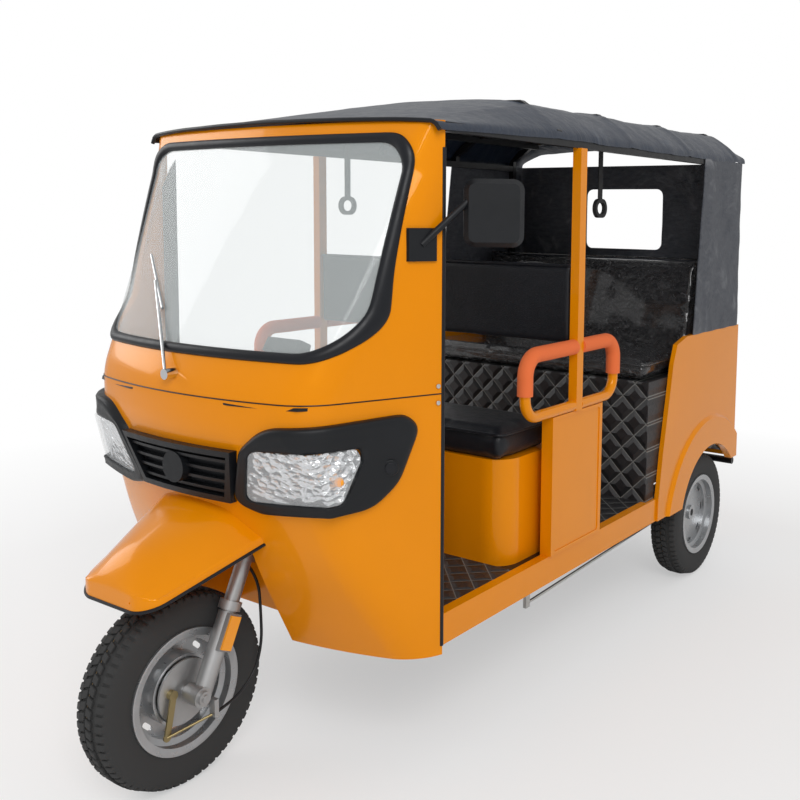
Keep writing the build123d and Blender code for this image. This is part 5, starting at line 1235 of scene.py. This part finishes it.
    def trims(self) -> None:
        """Make the seam line, the door edges' black trim, the screws and a black sheet of painted shade behind the
        grille.
        """
        form = self.form
        seam = Workbench.tube("cowl_seam", [form.on(0.5615 * math.sin(math.pi * (i / 120 - 0.5)), form.seam, 0.0004)
                                             for i in range(121)], 0.0017, 1)
        Workbench.place(seam, GASKET, slot="paint_yellow")
        sides = [Workbench.tube("door_trim", [(side * (form.rear_half - 0.003), at(form.rear_y - 0.001), z / 100)
                                              for z in range(36, 174, 6)], 0.006) for side in (1, -1)]
        Workbench.place(Workbench.join("door_edge_trims", sides), GASKET, slot="black_rubber")
        screws = [Workbench.disc("seam_screw", (side * 0.5585, at(0.412), z), (side, -0.4, 0), 0.006, 0.004, 0.001, 20)
                  for side in (1, -1) for z in (1.022, 1.066)]
        Workbench.place(Workbench.join("seam_screws", screws), STEEL, slot="paint_yellow")
        # This black sheet behind the grille's slats is painted shade: it stands in for the dark recess behind them.
        painted_shade_sheet = Workbench.patch("grille_painted_shade_sheet", 40, 12, lambda a, b: form.on(
            blend(-0.165, 0.165, a) * (1 + 0.22 * b), blend(0.779, 0.912, b), 0.0015))
        Workbench.place(painted_shade_sheet, SHELL_BLACK, slot="bezel_black")

    def build(self) -> None:
        """Make all of the cowl's pieces."""
        self.panel()
        self.gasket()
        self.glass()
        self.trims()


@dataclass
class Mudguard:
    """Pressed mudguard over the front wheel with its rubber edging."""

    nose: float = -0.183
    corner_r: float = 0.055
    roll_r: float = 0.090
    sheet_t: float = 0.003
    form: CowlForm = field(default_factory=CowlForm)

    def half(self, s: float) -> float:
        """Give the half-width at a station."""
        wide = 0.1882 + 0.2888 * s
        d = s - self.nose
        if d < self.corner_r:
            wide -= self.corner_r - math.sqrt(max(0.0, self.corner_r**2 - (self.corner_r - d) ** 2))
        return wide

    def edge_z(self, s: float) -> float:
        """Give the height of the lower edge."""
        return 0.6132 + 0.379 * s

    def top(self, s: float, x: float) -> float:
        """Give the height of the skin over a place."""
        crown = 0.798 - (0.160 - s) * 0.48
        share = (0.160 - s) / 0.350
        ridge_x, ridge_z = blend(0.130, 0.112, share), 0.792 - (0.160 - s) * 0.5971
        side_z = self.edge_z(s) + 0.020
        wide = 0.1882 + 0.2888 * s
        arc = crown - (crown - ridge_z) * (x / ridge_x) ** 2
        fall = ridge_z - (ridge_z - side_z) / (wide - ridge_x) * (abs(x) - ridge_x)
        soft = blend(0.004, 0.012, share)
        low = min(arc, fall)
        skin = low - soft * math.log(math.exp(-(arc - low) / soft) + math.exp(-(fall - low) / soft))
        flange = min(self.edge_z(s) + 0.040, skin)
        d = min(1.0, (s - self.nose) / self.roll_r)
        return max(side_z, flange + (skin - flange) * math.sqrt(max(0.0, 1 - (1 - d) ** 2)))

    def point(self, a: float, b: float) -> Point:
        """Give a point of the skin: a runs across, b from the cowl to the nose's flange."""
        side = 2 * a - 1
        across, drop = min(1.0, abs(side) / 0.93), max(0.0, (abs(side) - 0.93) / 0.07)
        run, fall = min(1.0, b / 0.94), max(0.0, (b - 0.94) / 0.06)
        run = 1 - (1 - run) ** 1.5
        guess = 0.080
        x = across * self.half(guess)
        z = self.top(guess, x)
        start = max(0.03, self.form.on(x, max(0.66, z))[1] - FRONT_AXLE_Y + 0.006)
        s = blend(start, self.nose, run)
        wide = self.half(s)
        x = math.copysign(across * wide, side)
        z = self.top(s, x)
        low = self.edge_z(s)
        z = blend(z, low, max(drop, fall))
        return (x, at(s), z)

    def build(self) -> None:
        """Make the mudguard and its edging."""
        skin = Workbench.patch("mudguard_skin", 110, 90, self.point)
        Workbench.outward(skin)
        up = sum(p.normal.z for p in skin.data.polygons) > 0
        Workbench.modify(skin, "SOLIDIFY", thickness=self.sheet_t, offset=-1 if up else 1)
        Workbench.place(skin, PAINT, slot="paint_yellow", nodes=("front_fender",), angle=45)
        rim = [self.point(0.0, b / 60) for b in range(0, 60)] + [self.point(a / 30, 1.0) for a in range(1, 30)]
        rim += [self.point(1.0, b / 60) for b in range(59, -1, -1)]
        edging = Workbench.tube("mudguard_edging", [(x, y, z - 0.001) for x, y, z in rim], 0.0045)
        Workbench.place(edging, GASKET, slot="black_rubber")


def rounded(corners_in: Sequence[Point], count: int) -> list[tuple[float, float]]:
    """Give evenly spaced points of a polygon whose corners are rounded.

    Args:
        corners_in: Each corner's place and radius, clockwise as seen from outside.
        count: Number of points.

    Returns:
        The points, starting at the first corner.
    """
    line: list[Vector] = []
    total = len(corners_in)
    for index, (x, y, radius) in enumerate(corners_in):
        here = Vector((x, y))
        before = (Vector(corners_in[index - 1][:2]) - here)
        after = (Vector(corners_in[(index + 1) % total][:2]) - here)
        reach = min(radius / math.tan(before.angle(after) / 2), before.length * 0.48, after.length * 0.48)
        a, b = here + before.normalized() * reach, here + after.normalized() * reach
        line += [a.lerp(here, s).lerp(here.lerp(b, s), s) for s in (i / 10 for i in range(11))]
    line.append(line[0])
    lengths = [0.0]
    for a, b in zip(line, line[1:]):
        lengths.append(lengths[-1] + (b - a).length)
    points = []
    for number in range(count):
        target = lengths[-1] * number / count
        index = min(bisect.bisect_right(lengths, target) - 1, len(line) - 2)
        part = (target - lengths[index]) / max(1e-9, lengths[index + 1] - lengths[index])
        points.append(line[index].lerp(line[index + 1], part))
    return [(point.x, point.y) for point in points]


@dataclass
class LampTrim:
    """Bezels and small parts of the headlamps, placed on the slanted lamp plane of each side."""

    form: CowlForm = field(default_factory=CowlForm)
    outer: tuple[Point, ...] = ((0.165, 0.776, 0.045), (0.183, 0.920, 0.060), (0.245, 0.988, 0.110),
                                (0.596, 1.004, 0.045), (0.638, 0.968, 0.040), (0.583, 0.830, 0.110),
                                (0.518, 0.774, 0.110), (0.237, 0.752, 0.060))
    inner: tuple[Point, ...] = ((0.200, 0.786, 0.024), (0.208, 0.926, 0.024), (0.480, 0.930, 0.012),
                                (0.481, 0.897, 0.020), (0.436, 0.797, 0.024))

    def place(self, along: float, up: float, out: float, side: int) -> Point:
        """Give a point from its place on the lamp plane."""
        half = math.sqrt(0.5)
        return (side * (along * half + out * half), at((along - out) * half), up)

    def face(self, along: float, up: float) -> float:
        """Give how far out the lamp's seat lies over a place of the lamp plane."""
        half, low, high = math.sqrt(0.5), 0.02, 0.36
        start = self.form.front(up)
        base = self.form.half_outline(1.0)
        xs = [p[0] for p in base]
        for _ in range(22):
            out = (low + high) / 2
            x, y = (along + out) * half, (along - out) * half
            bow = start + self.form.bow_r - math.sqrt(self.form.bow_r**2 - min(x, 1.0) ** 2)
            index = min(bisect.bisect_right(xs, x) - 1, len(base) - 2)
            share = min(1.0, (x - xs[index]) / (xs[index + 1] - xs[index]))
            wall = blend(base[index][1], base[index + 1][1], share) if x < xs[-1] else 9.0
            if y > max(bow, wall):
                low = out
            else:
                high = out
        return low

    def bezel(self, side: int) -> bpy.types.Object:
        """Make one bezel: a wide raised band from its outer edge to the lens."""
        count = 200
        outer, inner = rounded(self.outer, 400), rounded(self.inner, 400)
        middle = (0.365, 0.862)

        def pick(line: list[tuple[float, float]], turn: float) -> tuple[float, float]:
            return min(line, key=lambda p: abs(math.remainder(math.atan2(p[1] - middle[1], p[0] - middle[0]) - turn,
                                                              2 * math.pi)))

        rows = []
        for share, proud in ((0.0, -0.012), (0.0, 0.014), (0.03, 0.022), (0.10, 0.026), (0.30, 0.023), (0.62, 0.022),
                             (0.86, 0.025), (0.95, 0.023), (1.0, 0.015), (1.0, -0.004)):
            row = []
            for number in range(count):
                turn = 2 * math.pi * number / count
                a, b = pick(outer, turn), pick(inner, turn)
                t, u = blend(a[0], b[0], share), blend(a[1], b[1], share)
                row.append(self.place(t, u, self.face(t, u) + proud, side))
            rows.append(row)
        obj = Workbench.patch("lamp_bezel", count, len(rows) - 1,
                              lambda a, b: rows[round(b * (len(rows) - 1))][round(a * count) % count])
        Workbench.outward(obj)
        return obj

    def build(self) -> None:
        """Make bezels, dividers, bulbs and side lamps."""
        half = math.sqrt(0.5)
        bezels = Workbench.join("lamp_bezel_shells", [self.bezel(side) for side in (1, -1)])
        Workbench.modify(bezels, "SMOOTH", factor=0.5, iterations=4)
        Workbench.place(bezels, SHELL_BLACK, slot="bezel_black", nodes=("lamp_bezels",), angle=50)
        dividers, bulbs, rings, glasses = [], [], [], []
        for side in (1, -1):
            axis = (side * half, -half, 0)
            for shift in (0.0, 0.016):
                dividers.append(Workbench.tube("lamp_divider", [self.place(0.342 + shift, 0.806, 0.204, side),
                                                                self.place(0.352 + shift, 0.860, 0.212, side),
                                                                self.place(0.372 + shift, 0.930, 0.214, side)], 0.0035))
            bulbs.append(Workbench.disc("lamp_bulb", self.place(0.428, 0.852, 0.213, side), axis, 0.012, 0.020, 0.006))
            rings.append(Workbench.disc("side_lamp_ring", self.place(0.557, 0.874, 0.178, side), axis, 0.021, 0.006,
                                        0.002))
            glasses.append(Workbench.disc("side_lamp_lens", self.place(0.557, 0.874, 0.1805, side), axis, 0.015,
                                          0.006, 0.002))
        Workbench.place(Workbench.join("lamp_dividers", dividers), CHROME, slot="lamp_chrome")
        Workbench.place(Workbench.join("lamp_bulbs", bulbs), AMBER, slot="lamp_chrome")
        Workbench.place(Workbench.join("side_lamp_rings", rings), SHELL_BLACK, slot="bezel_black")
        Workbench.place(Workbench.join("side_lamp_lenses", glasses), GASKET, slot="bezel_black")


def main() -> None:
    """Build the scene round the frame."""
    logging.basicConfig(level=logging.INFO, format="%(name)s: %(message)s")
    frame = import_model()
    PhotoCamera().build()
    Studio().build()
    dress_nodes(frame["nodes"])
    Cowl().build()
    Mudguard().build()
    LampTrim().build()
    RoofCloth().build()
    for cushion in (
        Cushion("driver_seat_pad", "driver_cushion", (-0.510, at(0.785), 0.772), (0.510, at(1.095), 0.868), LEATHER,
                "seat_leather", corner_r=0.030, crown=0.008),
        Cushion("driver_back_pad", "driver_backrest", (-0.546, at(1.110), 1.100), (0.546, at(1.140), 1.358), LEATHER,
                "seat_leather", corner_r=0.009, crown=0.0, voxel=0.006, swell=0.003),
        Cushion("bench_pad", "passenger_cushion", (-0.540, at(1.682), 0.900), (0.540, at(2.098), 0.972), WRAPPED,
                "passenger_seat", corner_r=0.024, crown=0.010, channels=(-0.18, 0.18)),
        Cushion("bench_back_pad", "passenger_backrest", (-0.540, at(2.104), 0.905), (0.540, at(2.204), 1.362), WRAPPED,
                "passenger_seat", corner_r=0.030, crown=0.0, lean=12.0, pivot=(at(2.102), 0.900)),
    ):
        cushion.build()
    for tyre in (
        Tyre("front_tyre_treaded", "front_tyre", (0.0, FRONT_AXLE_Y, AXLE_Z), Body.FRONT_WHEEL),
        Tyre("rear_left_tyre_treaded", "rear_left_tyre", (0.480, REAR_AXLE_Y, AXLE_Z), Body.REAR_LEFT),
        Tyre("rear_right_tyre_treaded", "rear_right_tyre", (-0.480, REAR_AXLE_Y, AXLE_Z), Body.REAR_RIGHT),
    ):
        tyre.build()


if __name__ == "__main__":
    main()
